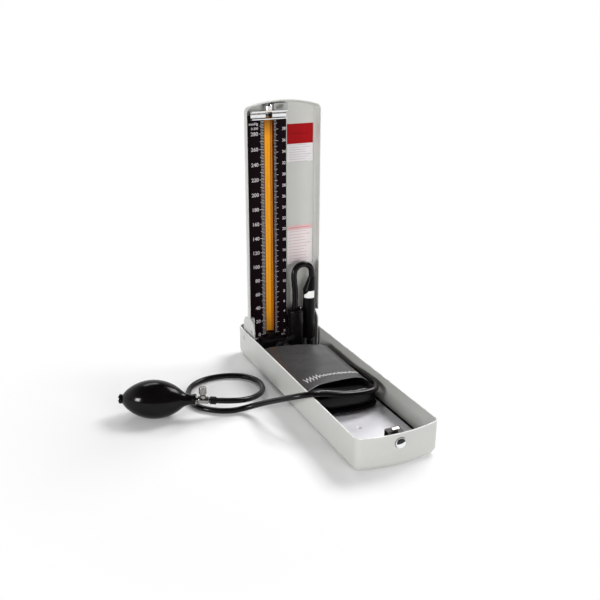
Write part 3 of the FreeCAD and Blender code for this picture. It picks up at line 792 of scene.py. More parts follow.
@dataclass(frozen=True)
class LitStrip(Finish):
    """Strip behind the tube: golden in the middle, red-orange at both edges, and brown with painted shade
    under the top rail.
    """
    middle_x: float = -0.0194
    half_width: float = 0.006
    bottom_z: float = 0.0425
    top_z: float = 0.331
    top_fade: tuple[float, float] = (0.024, 0.002)
    low_fade: float = 0.030
    top_weight: float = 0.85
    low_weight: float = 0.55
    edge_colour: Point = (0.62, 0.085, 0.008)
    top_colour: Point = (0.09, 0.03, 0.008)
    low_colour: Point = (0.25, 0.09, 0.015)

    def tone(self, t: Tree, shader: bpy.types.Node, where: Value) -> Value:
        """Colour by the distance from the strip's middle line and by height.

        Args:
            t: the material's tree.
            shader: its Principled node.
            where: object coordinates.

        Returns:
            The colour before the effects.
        """
        x, _, z = t.split(where)
        edge = t.ramp(abs(x - self.middle_x), self.half_width / 2, self.half_width)
        top = t.ramp(z, *(self.top_z - drop for drop in self.top_fade))
        low = t.ramp(z, self.bottom_z + self.low_fade, self.bottom_z)
        tone = t.mix(edge, self.colour, self.edge_colour)
        # Painted shade: brown where the top rail overhangs the strip.
        tone = t.mix(top * self.top_weight, tone, self.top_colour)
        return t.mix(low * self.low_weight, tone, self.low_colour)


@dataclass(frozen=True)
class Print(Finish):
    """Printed paper label: a coloured field with a band, and a plain field below it with bare ruled lines."""
    left: float = 0.009
    right: float = 0.0458
    top: float = 0.0
    split: float = 0.0
    field_colour: Point = (0.5, 0.02, 0.04)
    line_colour: Point = (0.45, 0.45, 0.46)
    band_colour: Point = (0.85, 0.8, 0.8)
    line_pitch: float = 0.0042
    line_half: float = 0.09
    line_weight: float = 0.75
    indent: float = 0.003
    outdent: float = 0.002
    ragged: float = 0.010
    band_half: float = 0.0006
    band_weight: float = 0.6

    def tone(self, t: Tree, shader: bpy.types.Node, where: Value) -> Value:
        """Fields by height, and lines by a wave in height; each line stops at its own place on the right.

        Args:
            t: the material's tree.
            shader: its Principled node.
            where: object coordinates.

        Returns:
            The colour before the effects.
        """
        x, _, z = t.split(where)
        number = (self.split - z) / self.line_pitch
        line = abs(t.math("FRACT", number) - 0.5) < self.line_half
        short = t.value("ShaderNodeTexWhiteNoise", noise_dimensions="1D", in_W=t.math("FLOOR", number))
        end = self.right - (short * self.ragged + self.outdent)
        inside = (x > self.left + self.indent) * (x < end)
        plain = t.mix(line * inside * self.line_weight, self.colour, self.line_colour)
        band = inside * (abs(z - (self.top + self.split) / 2) < self.band_half)
        upper = t.mix(band * self.band_weight, self.field_colour, self.band_colour)
        return t.mix(z > self.split, plain, upper)


@dataclass(frozen=True)
class Glass:
    """Clear tube glass with a faint smear in its gloss."""
    name: str = "tube_glass"
    index: float = 1.07
    gloss: float = 0.02
    smear: float = 0.05

    def build(self, groups: Groups) -> bpy.types.Material:
        """Make the material; light reaches the strip behind the tube as if the glass weren't there.

        Args:
            groups: the shared groups, of which clear glass has none.

        Returns:
            The material.
        """
        material, t = new_material(self.name, (0.9, 0.95, 0.95, 0.35))
        shader = t.tree.nodes["Principled BSDF"]
        shader.inputs["Base Color"].default_value = (1.0, 1.0, 1.0, 1.0)
        shader.inputs["Transmission Weight"].default_value = 1.0
        shader.inputs["IOR"].default_value = self.index
        smear = t.ramp(t.noise(t.value("ShaderNodeTexCoord", "Object"), 90.0), 0.45, 0.8)
        t.put(smear * self.smear + self.gloss, shader.inputs["Roughness"])
        both = t.value("ShaderNodeMixShader", in_0=t.rays("Shadow", "Diffuse"),
                       in_1=Value(t, shader.outputs[0]), in_2=t.value("ShaderNodeBsdfTransparent"))
        t.put(both, t.tree.nodes["Material Output"].inputs["Surface"])
        return material


SILVER_GREY = (0.525, 0.53, 0.505)
BRIGHT_CHROME = (0.86, 0.87, 0.88)
SOOT = (0.0042, 0.0034, 0.0038)
ENAMEL = dict(roughness=0.36, coat=0.25, coat_roughness=0.25, grain=2600.0, bump=0.5, bump_depth=0.00003,
              mottle=0.04, dust=0.06, scuffs=0.25, scuff_colour=(0.72, 0.73, 0.71))
CHROME = dict(metallic=1.0, grain=1200.0, bump=0.1, bump_depth=0.00001)
RUBBER = dict(bump=0.5, bump_depth=0.00003, mottle=0.25, dust_colour=grey(0.2))
GLOSS_BLACK = dict(bump_depth=0.00003, mottle=0.2)
FINISHES: tuple["Finish | Glass", ...] = (
    Finish("silver_grey_enamel", SILVER_GREY, **ENAMEL),
    TrayEnamel("tray_enamel", SILVER_GREY, **ENAMEL),
    Finish("grey_panel_enamel", (0.565, 0.565, 0.535), 0.42, coat=0.1, grain=2200.0, bump=0.6,
           bump_depth=0.00004, mottle=0.05, scuffs=0.12, scuff_colour=(0.66, 0.67, 0.66)),
    Brushed("brushed_aluminium", (0.86, 0.85, 0.89), 0.36, 0.85, grain=1200.0, bump=0.15, bump_depth=0.00001,
            scuffs=0.2, scuff_colour=grey(0.86)),
    Finish("black_enamel", (0.0065, 0.0030, 0.0045), 0.40, specular=0.03, grain=2400.0, bump=0.5, dust=0.01,
           scuffs=0.02, scuff_colour=grey(0.04), **GLOSS_BLACK),
    Finish("black_glaze", SOOT, 0.22, specular=0.16, grain=2400.0, bump=0.4, dust=0.01, **GLOSS_BLACK),
    # Blackened steel; on the latch guide it also stands in for the slot's dark gap as painted shade.
    Finish("blackened_steel", grey(0.10), 0.34, 1.0, grain=2000.0, bump=0.3, mottle=0.2, scuffs=0.3,
           scuff_colour=grey(0.4)),
    Finish("polished_chrome", BRIGHT_CHROME, 0.10, mottle=0.03, scuffs=0.2, **CHROME),
    RailChrome("rail_chrome", BRIGHT_CHROME, 0.16, mottle=0.05, scuffs=0.3, scuff_colour=grey(0.5), **CHROME),
    DomedChrome("button_chrome", (0.88, 0.89, 0.90), 0.08, mottle=0.03, **CHROME),
    CapMetal("cap_plating", grey(0.88), 0.25, mottle=0.05, **{**CHROME, "bump": 0.2}),
    Finish("dull_plating", (0.30, 0.29, 0.28), 0.24, 1.0, grain=1600.0, bump=0.2, bump_depth=0.00001,
           mottle=0.15, scuffs=0.3, scuff_colour=grey(0.3)),
    Finish("dull_zinc", (0.46, 0.47, 0.46), 0.45, 0.5, grain=1600.0, bump=0.3, mottle=0.12, scuffs=0.3,
           scuff_colour=grey(0.7)),
    Finish("spring_wire", (0.36, 0.36, 0.38), 0.3, 1.0, grain=2600.0, bump=0.3, mottle=0.1),
    LitStrip("tube_backing", (1.0, 0.40, 0.010), 0.5, specular=0.2, grain=2200.0, bump=0.1, mottle=0.05),
    Finish("black_rubber", (0.0032, 0.0024, 0.0028), 0.17, specular=0.17, grain=1900.0, dust=0.02, **RUBBER),
    Finish("hose_rubber", (0.0036, 0.0028, 0.0032), 0.22, specular=0.24, grain=2400.0, dust=0.03, **RUBBER),
    Finish("black_moulding", SOOT, 0.32, specular=0.14, grain=2000.0, bump=0.5, dust=0.02, **GLOSS_BLACK),
    Nylon("cuff_nylon", (0.024, 0.023, 0.025), 0.30, specular=0.70, sheen=0.08, bump=0.22, bump_depth=0.00014,
          grain=900.0, dust=0.03, dust_colour=(0.25, 0.25, 0.26)),
    Nylon("cuff_lining", (0.0030, 0.0027, 0.0030), 0.65, specular=0.08, bump=0.4, bump_depth=0.00016,
          grain=900.0),
    Finish("satin_binding", grey(0.30), 0.30, specular=0.6, grain=2600.0, bump=0.3, mottle=0.2),
    Finish("white_thread", (0.78, 0.78, 0.77), 0.7, grain=3000.0, bump=0.5, mottle=0.1),
    Finish("white_print", (0.52, 0.49, 0.50), 0.6, specular=0.2, grain=3000.0, bump=0.2, mottle=0.08),
    Finish("tag_paper", (0.92, 0.92, 0.90), 0.7, grain=2600.0, bump=0.5, mottle=0.08),
    Print("upper_label_print", (0.74, 0.71, 0.72), 0.5, specular=0.12, grain=2600.0, top=0.320, split=0.2945,
          field_colour=(0.35, 0.004, 0.007), band_colour=(0.16, 0.002, 0.004), line_colour=(0.34, 0.34, 0.35),
          line_pitch=0.0031),
    Print("lower_label_print", (0.78, 0.72, 0.72), 0.5, specular=0.15, grain=2600.0, top=0.186, split=0.1795,
          field_colour=(0.72, 0.50, 0.50), band_colour=(0.60, 0.10, 0.12), line_colour=(0.62, 0.30, 0.30)),
    Glass(),
    Finish("mercury_metal", (0.76, 0.76, 0.78), 0.06, 1.0, mottle=0.0),
)


def paint_all() -> dict[str, bpy.types.Material]:
    """Every material of the object, made once, by its finish's name."""
    groups = Groups()
    return {finish.name: finish.build(groups) for finish in FINISHES}


@dataclass
class Assembly:
    """Sub-assembly: its table gives the CAD nodes that each finish covers."""
    paints: dict[str, bpy.types.Material]
    nodes: ClassVar[dict[str, tuple[str, ...]]] = {}

    def dress(self) -> None:
        """Give each CAD node of the table its material."""
        for finish, nodes in self.nodes.items():
            for node in nodes:
                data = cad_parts[node].data
                data.materials.clear()
                data.materials.append(self.paints[finish])
                LOG.info("dressed %s in %s", node, finish)

    def build(self) -> None:
        """Dress the CAD nodes; a sub-assembly with new pieces makes them as well."""
        self.dress()

    def place(self, obj: bpy.types.Object, body: Body, finish: str, slot: str) -> bpy.types.Object:
        """Let a new piece ride on its body, in its finish.

        Args:
            obj: the piece.
            body: the body that carries it.
            finish: name of its finish.
            slot: the record's slot that it belongs to.

        Returns:
            slot: name of the slot that the piece belongs to; not used.
        """
        if obj.data.materials:
            obj.data.materials[0] = self.paints[finish]
        else:
            obj.data.materials.append(self.paints[finish])
        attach(obj, body.value)
        LOG.info("built %s on %s", obj.name, body.value)
        return obj


# ---------------------------------------------------------------- camera and surroundings
@dataclass(frozen=True)
class SoftBox:
    """Soft light that faces a target: its place, its width and height, and its watts."""
    name: str
    at: Point
    target: Point
    size: tuple[float, float]
    power: float
    mirrored: bool = True

    def build(self) -> None:
        """Add the light; one that isn't mirrored can't be seen in what shines."""
        data = bpy.data.lights.new(self.name, "AREA")
        data.shape, data.energy = "RECTANGLE", self.power
        data.size, data.size_y = self.size
        lamp = linked(self.name, data)
        lamp.location = self.at
        lamp.rotation_euler = (Vector(self.target) - Vector(self.at)).to_track_quat("-Z", "Y").to_euler()
        lamp.visible_glossy = self.mirrored


@dataclass
class Studio:
    """Camera, pale floor and soft lights.

    Angles are in degrees, and lens and sensor in millimetres. The floor fades into white between two
    distances from the middle of the shadows. What shines mirrors white between two heights of the world,
    and more of it between two places from front to back.
    """
    camera_at: Point = (-0.40806, -0.79523, 0.46373)
    pitch_down: float = 19.85
    turn_right: float = 24.29
    lens: float = 47.74
    sensor: float = 36.0
    clip: tuple[float, float] = (0.02, 60.0)
    shift: tuple[float, float] = (0.0158, -0.0146)
    floor_half: float = 12.0
    floor_drop: float = 0.0004
    floor_tone: float = 0.90
    floor_glow: float = 0.04
    floor_fade: tuple[float, float] = (0.16, 0.34)
    shadow_side: tuple[float, float] = (-0.105, 0.005)
    ambient: float = 0.20
    white_low: tuple[float, float] = (0.80, 0.42)
    white_back: tuple[float, float] = (-0.30, 0.50)
    mirror_back: float = 0.93
    mirror_front: float = 0.03
    mirror_top: float = 0.02
    boxes: tuple[SoftBox, ...] = (
        SoftBox("right_box", (0.80, 0.28, 1.08), (-0.08, 0.0, 0.0), (0.75, 0.5), 16.0),
        SoftBox("back_box", (-0.15, 0.80, 0.95), (-0.02, 0.0, 0.0), (0.6, 0.25), 2.5),
        SoftBox("left_box", (-1.45, -0.30, 0.36), (0.0, 0.05, 0.08), (0.3, 0.3), 11.5),
        SoftBox("front_box", (0.30, -1.7, 0.42), (0.0, 0.1, 0.12), (1.2, 0.7), 15.5, mirrored=False))

    def camera(self) -> None:
        """Place the camera: it looks down by the pitch and to the right of +Y by the turn."""
        data = bpy.data.cameras.new("camera")
        data.lens, data.sensor_width = self.lens, self.sensor
        data.shift_x, data.shift_y = self.shift
        data.clip_start, data.clip_end = self.clip
        cam = linked("camera", data)
        cam.location = self.camera_at
        cam.rotation_euler = Euler((math.radians(90 - self.pitch_down), 0.0, -math.radians(self.turn_right)))
        bpy.context.scene.camera = cam

    def floor(self) -> None:
        """Make the floor, with a little light of its own for the camera and for what mirrors it.

        Away from the object it fades into the white of the world.
        """
        r = self.floor_half
        verts = np.array([[-r, -r, 0], [r, -r, 0], [r, r, 0], [-r, r, 0]]) - [0, 0, self.floor_drop]
        obj = mesh_object("floor", verts, [[0, 1, 2, 3]], smooth=False)
        material, t = new_material("pale_floor", (1.0, 1.0, 1.0, 1.0))
        t.tree.nodes.clear()
        seen = t.rays("Camera", "Glossy", "Transmission")
        matt = t.value("ShaderNodeBsdfDiffuse", in_Color=rgba(grey(self.floor_tone)))
        glow = t.value("ShaderNodeEmission", in_Strength=seen * self.floor_glow)
        both = t.value("ShaderNodeAddShader", in_0=matt, in_1=glow)
        x, y, _ = t.split(t.value("ShaderNodeTexCoord", "Object"))
        reach = t.length(x - self.shadow_side[0], y - self.shadow_side[1])
        mixed = t.value("ShaderNodeMixShader", in_0=t.ramp(reach, *self.floor_fade) * seen, in_1=both,
                        in_2=t.value("ShaderNodeEmission", in_Strength=1.0))
        t.add("ShaderNodeOutputMaterial", in_0=mixed)
        obj.data.materials.append(material)

    def world(self) -> None:
        """Make the world: white for the camera and grey as a light.

        What shines mirrors a world that is white low down at the back, and darker overhead and at the front.
        """
        world = bpy.data.worlds.new("studio")
        bpy.context.scene.world = world
        world.use_nodes = True
        t = Tree(world.node_tree)
        t.tree.nodes.clear()
        _, forward, up = t.split(t.value("ShaderNodeTexCoord", "Generated"))
        low = t.ramp(forward, *self.white_back) * self.mirror_back + self.mirror_front
        mirror = t.ramp(up, *self.white_low) * low + self.mirror_top
        glossy = t.rays("Glossy")
        light = mirror * glossy + (1.0 - glossy) * self.ambient
        strength = t.math("MAXIMUM", t.rays("Camera", "Transmission"), light)
        sky = t.value("ShaderNodeBackground", in_Color=(1.0, 1.0, 1.0, 1.0), in_Strength=strength)
        t.add("ShaderNodeOutputWorld", in_0=sky)
        bpy.context.scene.view_settings.view_transform = "Standard"

    def build(self) -> None:
        """Make everything around the object."""
        self.camera()
        self.floor()
        self.world()
        for box in self.boxes:
            box.build()
        LOG.info("camera, floor and lights stand")


# ---------------------------------------------------------------- hoses
def nurbs_hose(name: str, route_mm: Sequence[Point], diameter: float) -> bpy.types.Object:
    """Round hose along a NURBS spline whose control points are the route.

    Args:
        name: plain name.
        route_mm: control points in millimetres.
        diameter: outer diameter in metres.

    Returns:
        The curve object.
    """
    curve = bpy.data.curves.new(name, "CURVE")
    curve.dimensions = "3D"
    spline = curve.splines.new("NURBS")
    spline.points.add(len(route_mm) - 1)
    for point, place in zip(spline.points, route_mm):
        point.co = (*(c * MM for c in place), 1.0)
    spline.order_u = 3
    spline.use_endpoint_u = True
    spline.resolution_u = 8
    curve.bevel_depth = diameter / 2
    curve.bevel_resolution = 5
    curve.use_fill_caps = True
    return linked(name, curve)


def sampled(obj: bpy.types.Object) -> Array:
    """Points along a curve's own spline, read with its bevel off.

    Args:
        obj: the curve object.

    Returns:
        Array of shape (n, 3).
    """
    depth, obj.data.bevel_depth = obj.data.bevel_depth, 0.0
    mesh = as_mesh(obj)
    points = vertices_of(mesh)
    obj.data.bevel_depth = depth
    bpy.data.meshes.remove(mesh)
    return points


def tube_mesh(name: str, path: Array, radii: Array, steps: int = 24) -> bpy.types.Object:
    """Round tube carried along a path of points.

    The frame at each point is turned from the one before it so that it doesn't twist: side stays square
    to the path's direction. Vertices are path + r (cos t side + sin t up).

    Args:
        name: plain name.
        path: array of shape (n, 3).
        radii: radius at each point.
        steps: vertices in a ring.

    Returns:
        The linked object, closed at both ends.
    """
    tangent = np.gradient(path, axis=0)
    tangent /= np.linalg.norm(tangent, axis=1)[:, None]
    side = np.zeros_like(path)
    first = np.cross(tangent[0], [0.0, 0.0, 1.0])
    side[0] = first if np.linalg.norm(first) > 0.1 else np.cross(tangent[0], [1.0, 0.0, 0.0])
    for i in range(1, len(path)):
        side[i] = side[i - 1] - tangent[i] * np.dot(side[i - 1], tangent[i])
        side[i] /= np.linalg.norm(side[i])
    side[0] /= np.linalg.norm(side[0])
    up = np.cross(tangent, side)
    t = np.linspace(0, 2 * np.pi, steps, endpoint=False)
    ring = np.cos(t)[None, :, None] * side[:, None, :] + np.sin(t)[None, :, None] * up[:, None, :]
    verts = path[:, None, :] + radii[:, None, None] * ring
    obj = mesh_object(name, verts, grid_faces(len(path), steps, wrap=True))
    tidy_closed(obj)
    return obj


@dataclass
class Hoses(Assembly):
    """The free hose to the bulb, the manometer's own hose, and the tail between lid and cuff."""
    diameter: float = 0.007
    bulb_route: tuple[Point, ...] = (
        (42.4, 61.0, 16.8), (45.2, 49.0, 19.6), (46.0, 31.0, 23.4), (46.2, 6.0, 27.0), (46.1, -20.0, 29.0),
        (45.0, -43.5, 30.4), (37.0, -58.5, 30.5), (17.0, -62.5, 31.5), (-2.5, -62.0, 33.5),
        (-20.5, -62.5, 37.5), (-36.0, -65.0, 43.6), (-52.0, -67.5, 47.4), (-66.0, -59.0, 43.6),
        (-76.0, -43.0, 34.8), (-84.0, -24.5, 24.6), (-92.5, -7.5, 14.6), (-105.0, 5.0, 6.4),
        (-120.0, 9.0, 3.6), (-136.5, 15.5, 3.6), (-152.0, 29.0, 3.6), (-161.0, 50.0, 3.6),
        (-158.0, 74.0, 3.6), (-146.0, 94.5, 3.6), (-124.0, 105.5, 3.6), (-97.0, 104.5, 3.6),
        (-74.5, 93.5, 3.6), (-62.5, 74.0, 3.6), (-64.0, 52.0, 4.4), (-73.0, 33.5, 7.6),
        (-86.0, 18.5, 11.4), (-101.0, 9.5, 14.6), (-115.5, 8.2, 16.6), (-128.5, 10.6, 17.9))
    ferrule_axis: Point = (0.955, -0.225, -0.150)
    arch_diameter: float = 0.008
    arch_route: tuple[Point, ...] = (
        (14.0, 125.0, 75.4), (14.0, 125.0, 86.0), (14.4, 125.0, 96.5), (13.2, 125.0, 107.0),
        (12.3, 125.0, 117.3), (12.5, 125.0, 126.3), (17.4, 125.0, 133.2), (25.6, 125.0, 135.9),
        (33.8, 125.0, 133.2), (38.8, 125.0, 126.3), (38.6, 125.0, 116.0))
    tail_route: tuple[Point, ...] = (
        (35.0, 125.0, 27.0), (35.0, 125.0, 19.5), (34.5, 120.6, 13.4), (33.4, 113.0, 11.6),
        (32.2, 105.6, 13.9), (31.2, 98.4, 15.4), (30.6, 91.5, 15.2))

    def ferrule_point(self) -> Point:
        """Middle of the ferrule's outer end, which is the middle of its farthest ring of vertices.

        Returns:
            The point, in millimetres.
        """
        axis = np.array(self.ferrule_axis)
        axis /= np.linalg.norm(axis)
        points = vertices_of(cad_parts["hose_ferrule"].data)
        along = points @ axis
        end = points[along > along.max() - 1e-5]
        return tuple(float(c) / MM for c in (end.min(0) + end.max(0)) / 2)

    def free_hose(self) -> None:
        """Make the hose from the cuff over the rim, round its loop and up to the ferrule."""
        route = self.bulb_route + (self.ferrule_point(),)
        hose = nurbs_hose("bulb_hose_rubber", route, self.diameter)
        path = sampled(hose)
        self.place(hose, Body.CASE, "hose_rubber", "rubber")
        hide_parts("bulb_hose")

    def arch(self) -> None:
        """Make the hose from the reservoir up and over to its connector."""
        hose = nurbs_hose("manometer_hose_rubber", self.arch_route, self.arch_diameter)
        self.place(hose, Body.LID, "hose_rubber", "rubber")
        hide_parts("manometer_hose")

    def tail(self) -> None:
        """Make the tail, which curves between the lid and the case."""
        guide = nurbs_hose("tail_guide", self.tail_route, self.diameter)
        path = sampled(guide)
        bpy.data.objects.remove(guide)
        tube = tube_mesh("manometer_hose_tail_rubber", path, np.full(len(path), self.diameter / 2))
        tube.data.materials.append(self.paints["hose_rubber"])
        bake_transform(tube)
        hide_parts("manometer_hose_tail")

    def build(self) -> None:
        """Make the three hoses."""
        self.free_hose()
        self.arch()
        self.tail()


# ---------------------------------------------------------------- cuff
@dataclass(frozen=True)
class Stitch:
    """One kind of zigzag stitch: its slope, half length and half thickness."""
    slope: float
    half: float
    thick: float


@dataclass
class Cuff(Assembly):
    """Folded cuff: an upper fold with an open mouth to the front, on two lower layers.

    The heights are those of the upper fold's top, of the step between the folds, of the split between the
    two lower layers, and of the lowest face.
    """
    left: float = -0.0466
    right: float = 0.0409
    rear_left: float = 0.098
    rear_right: float = 0.0806
    top: float = 0.0335
    step: float = 0.0212
    split: float = 0.0152
    low: float = 0.0094
    wall: float = 0.0010
    mouth_depth: float = 0.42
    power_x: float = 6.5
    power_z: float = 2.6
    rear_rise: float = 0.0035
    rear_press: float = 0.40
    slow_crease: float = 0.0010
    fine_crease: float = 0.00022
    crease_room: float = 0.0007
    tape_gap: float = 0.0008
    rear_bulge: float = 0.0016
    long_stitch: Stitch = Stitch(3.0, 0.0062, 0.00054)
    short_stitch: Stitch = Stitch(2.2, 0.0027, 0.00056)
    nodes = {"black_rubber": ("bladder", "manometer_outlet", "bulb_hose_outlet")}

    def rear(self, x: Array) -> Array:
        """Y of the rear edge at x: a straight slanted line."""
        s = (x - self.left) / (self.right - self.left)
        return self.rear_left * (1 - s) + self.rear_right * s

    def upper_front(self, x: Array) -> Array:
        """Y of the mouth's upper edge at x: a shallow arch that falls forward at both ends."""
        return np.interp(x, [self.left, -0.0397, -0.0218, 0.0018, 0.0235, 0.0365, self.right],
                         [-0.0345, -0.0312, -0.0225, -0.0208, -0.0214, -0.0245, -0.0295])

    def lip_front(self, x: Array) -> Array:
        """Y of the mouth's lower lip at x, which reaches further forward."""
        return np.interp(x, [self.left, -0.0360, -0.0230, -0.0100, 0.0050, 0.0210, self.right],
                         [-0.0350, -0.0325, -0.0340, -0.0360, -0.0375, -0.0385, -0.0370])

    def lip_height(self, x: Array) -> Array:
        """Z of the lower lip at x: it hangs from the upper edge at the left and opens to the right."""
        return np.interp(x, [self.left, -0.0340, -0.0230, -0.0100, 0.0050, 0.0210, self.right],
                         [0.0300, 0.0302, 0.0296, 0.0272, 0.0240, 0.0224, 0.0222])

    def stitch_line(self, x: Array) -> Array:
        """Y of the stitches at x, behind the tape that binds the mouth."""
        return np.interp(x, [self.left, -0.030, -0.014, 0.004, 0.020, self.right],
                         [-0.0125, -0.0075, -0.0035, -0.0030, -0.0055, -0.0105])

    def lower_front(self, x: Array) -> Array:
        """Y of the lower layers' front edge at x."""
        return np.interp(x, [self.left, -0.038, -0.025, -0.005, 0.018, 0.034, self.right],
                         [-0.030, -0.047, -0.0590, -0.0625, -0.0645, -0.0620, -0.0540])

    def pillow(self, name: str, front: Edge, rear: Edge, low: float, high: float, seed: int,
               puff: float) -> bpy.types.Object:
        """Closed flat cushion between two edges.

        With u across and v from front to rear, the half thickness is h (1 - |2u-1|^9)^q (1 - |2v-1|^22)^q,
        and both faces carry slow waves that fade at the edges. Vertices gather at the edges, where the
        cushion turns over.

        Args:
            name: plain name.
            front: y of the front edge at x.
            rear: y of the rear edge at x.
            low: lowest z.
            high: highest z.
            seed: picks the waves.
            puff: height of the waves, in metres.

        Returns:
            The linked object.
        """
        rows, cols, roundness = 150, 96, 0.45
        v, u = np.meshgrid(np.linspace(0, 1, rows), np.linspace(0, 1, cols), indexing="ij")
        u, v = 0.5 - 0.5 * np.cos(np.pi * u), 0.5 - 0.5 * np.cos(np.pi * v)
        x = self.left + (self.right - self.left) * u
        y = front(x) + (rear(x) - front(x)) * v
        edge = (1 - np.abs(2 * u - 1) ** 9) ** roundness * (1 - np.abs(2 * v - 1) ** 22) ** roundness
        mid, half = (low + high) / 2, (high - low) / 2 - puff
        waves = value_noise(x * 60, y * 60, seed, 3) * puff * edge
        fine = value_noise(x * 260, y * 190, seed + 7, 2) * puff * 0.25 * edge
        top = mid + half * edge + waves + fine
        bottom = mid - half * edge + waves * 0.4
        verts = np.stack([np.stack([x, y, top], -1), np.stack([x, y, bottom], -1)])
        faces = np.vstack([grid_faces(rows, cols), grid_faces(rows, cols, base=rows * cols)[:, ::-1]])
        obj = mesh_object(name, verts, faces)
        tidy_closed(obj, 2e-6)
        return obj

    def section(self, s: Array, steps: int, inset: float) -> Array:
        """Cross-sections of the upper fold, from its mouth at s = 0 to its rear at s = 1.

        Each is a superellipse |x/a|^n + |z/b|^m = 1 with its soft creases. Near the mouth its lower half
        bends to the lip's own line, and towards the rear its upper half climbs.

        Args:
            s: places along the fold.
            steps: vertices in a cross-section.
            inset: distance by which the cross-sections are smaller.

        Returns:
            Array of shape (len(s), steps, 3).
        """
        t = np.linspace(0, 2 * np.pi, steps, endpoint=False)
        ex = (np.sign(np.cos(t)) * np.abs(np.cos(t)) ** (2 / self.power_x))[None, :]
        ez = (np.sign(np.sin(t)) * np.abs(np.sin(t)) ** (2 / self.power_z))[None, :]
        s = s[:, None]
        mid_z, b = self.middle_and_half()
        x = (self.left + self.right) / 2 + ((self.right - self.left) / 2 - inset) * ex * np.ones_like(s)
        upper = np.clip(0.5 + 0.6 * ez, 0, 1)
        front = self.upper_front(x) * upper + self.lip_front(x) * (1 - upper)
        y = front + (self.rear(x) - front) * s
        z = mid_z + (b - inset) * ez * np.ones_like(s)
        bend = np.exp(-(s * 7) ** 2) * np.clip(-ez * 1.6, 0, 1)
        z = z + (self.lip_height(x) + inset - z) * bend
        z = z + self.waves(x, y, ex) * np.clip(s * 9, 0.35, 1) * (1 - bend)
        z = z + self.rise(x, y) * np.clip(0.5 + 0.5 * ez, 0, 1)
        return np.stack([x, y, z], -1)

    def upper_fold(self) -> bpy.types.Object:
        """Make the upper fold: a flattened loop of fabric, open to the front and closed at the rear.

        The inner cross-sections shrink to a slit towards the rear. The mouth's edge is rounded by one row
        half a wall in, a little further forward. The attribute tape marks the band between the mouth and
        the stitches.

        Returns:
            The linked object.
        """
        steps, rows, inner_rows = 200, 120, 36
        mid_z, b = self.middle_and_half()
        inner_s = np.linspace(0.0, self.mouth_depth, inner_rows)
        outer = self.section(np.linspace(0, 1, rows) ** 1.1, steps, 0.0)
        inner = self.section(inner_s, steps, self.wall)
        shut = np.clip(1 - (inner_s / self.mouth_depth) ** 2, 0.05, 1)[:, None]
        inner[..., 2] = mid_z + (inner[..., 2] - mid_z) * shut
        edge = (outer[:1] + inner[:1]) / 2
        edge[..., 1] -= self.wall * 0.6
        end = outer[-1:].copy()
        end[..., 2] = mid_z + (end[..., 2] - mid_z) * 0.55
        end[..., 1] += self.rear_bulge
        sheet = np.concatenate([inner[::-1], edge, outer, end])
        obj = mesh_object("cuff_upper_fabric", sheet, grid_faces(len(sheet), steps, wrap=True))
        inside = np.arange(len(obj.data.polygons)) < len(inner) * steps
        obj.data.materials.append(self.paints["cuff_nylon"])
        obj.data.materials.append(self.paints["cuff_lining"])
        obj.data.polygons.foreach_set("material_index", inside.astype(np.int32))
        tidy_closed(obj)
        x, y, z = vertices_of(obj.data).T
        tape = ((y < self.stitch_line(x) - self.tape_gap) & (z > mid_z + b * 0.45)).astype(float)
        obj.data.attributes.new("tape", "FLOAT", "POINT").data.foreach_set("value", tape)
        return obj

    def rise(self, x: Array, y: Array) -> Array:
        """Height by which the top climbs to the rear, less at the right, where the shut lid's hose lies."""
        return self.rear_rise * eased(y, 0.015, 0.065) * (1 - self.rear_press * eased(x, 0.008, 0.020))

    def middle_and_half(self) -> tuple[float, float]:
        """Middle height and half height of the upper fold."""
        return (self.top + self.step) / 2, (self.top - self.step) / 2 - self.crease_room

    def waves(self, x: Array, y: Array, across: Array) -> Array:
        """Height of the soft creases of the upper fold; across runs from -1 to 1."""
        slow = value_noise(x * 55, y * 55, 5, 3) * self.slow_crease * (1 - np.abs(across) ** 8)
        return slow + value_noise(x * 240, y * 160, 12, 2) * self.fine_crease

    def top_surface(self, x: Array, y: Array) -> Array:
        """Height of the upper fold at points of its top.

        Args:
            x: first coordinates.
            y: second coordinates.

        Returns:
            Their heights, by the superellipse and the creases.
        """
        mid_z, b = self.middle_and_half()
        across = (x - (self.left + self.right) / 2) / ((self.right - self.left) / 2)
        ez = (1 - np.abs(across) ** self.power_x) ** (1 / self.power_z)
        return mid_z + b * ez + self.waves(x, y, across)

    def stitches(self) -> bpy.types.Object:
        """Row of white zigzag stitches behind the tape, long at the left and short from there on.

        Each stitch is a rounded bar that follows the fabric's top, half sunk in it: its middle line is
        place + s half direction, and around it lie circles of radius thick sqrt(1 - |s|^3).

        Returns:
            The linked object.
        """
        count, along, around, long_until = 30, 9, 8, -0.012
        number = np.arange(count)
        x = np.linspace(-0.0330, 0.0375, count)
        kinds = astuple(self.long_stitch), astuple(self.short_stitch)
        slope, half, thick = (np.where(x < long_until, long, short) for long, short in zip(*kinds))
        slope = slope * np.where(number % 2, 1.0, -1.0)
        half = half * (1 + 0.30 * np.sin(2.9 * number))
        thick = thick * (1 + 0.3 * np.sin(2.3 * number))
        direction = np.stack([np.ones_like(x), slope], -1) / np.hypot(1, slope)[:, None]
        s = np.linspace(-1, 1, along)
        t = np.linspace(0, 2 * np.pi, around, endpoint=False)
        reach = half[:, None] * s[None, :]
        line_x = x[:, None] + reach * direction[:, :1]
        line_y = self.stitch_line(x)[:, None] + reach * direction[:, 1:]
        line = np.stack([line_x, line_y, self.top_surface(line_x, line_y)], -1)
        across = np.stack([-direction[:, 1], direction[:, 0], np.zeros(count)], -1)
        circle = np.sqrt(np.clip(1 - np.abs(s) ** 3, 0, 1))[None, :, None] * thick[:, None, None]
        verts = (line[:, :, None] + (circle * np.cos(t))[..., None] * across[:, None, None]
                 + (circle * np.sin(t))[..., None] * np.array([0, 0, 1.0]))
        faces = np.vstack([grid_faces(along, around, wrap=True, base=i * along * around)
                           for i in range(count)])
        obj = mesh_object("cuff_front_stitches", verts, faces)
        tidy_closed(obj)
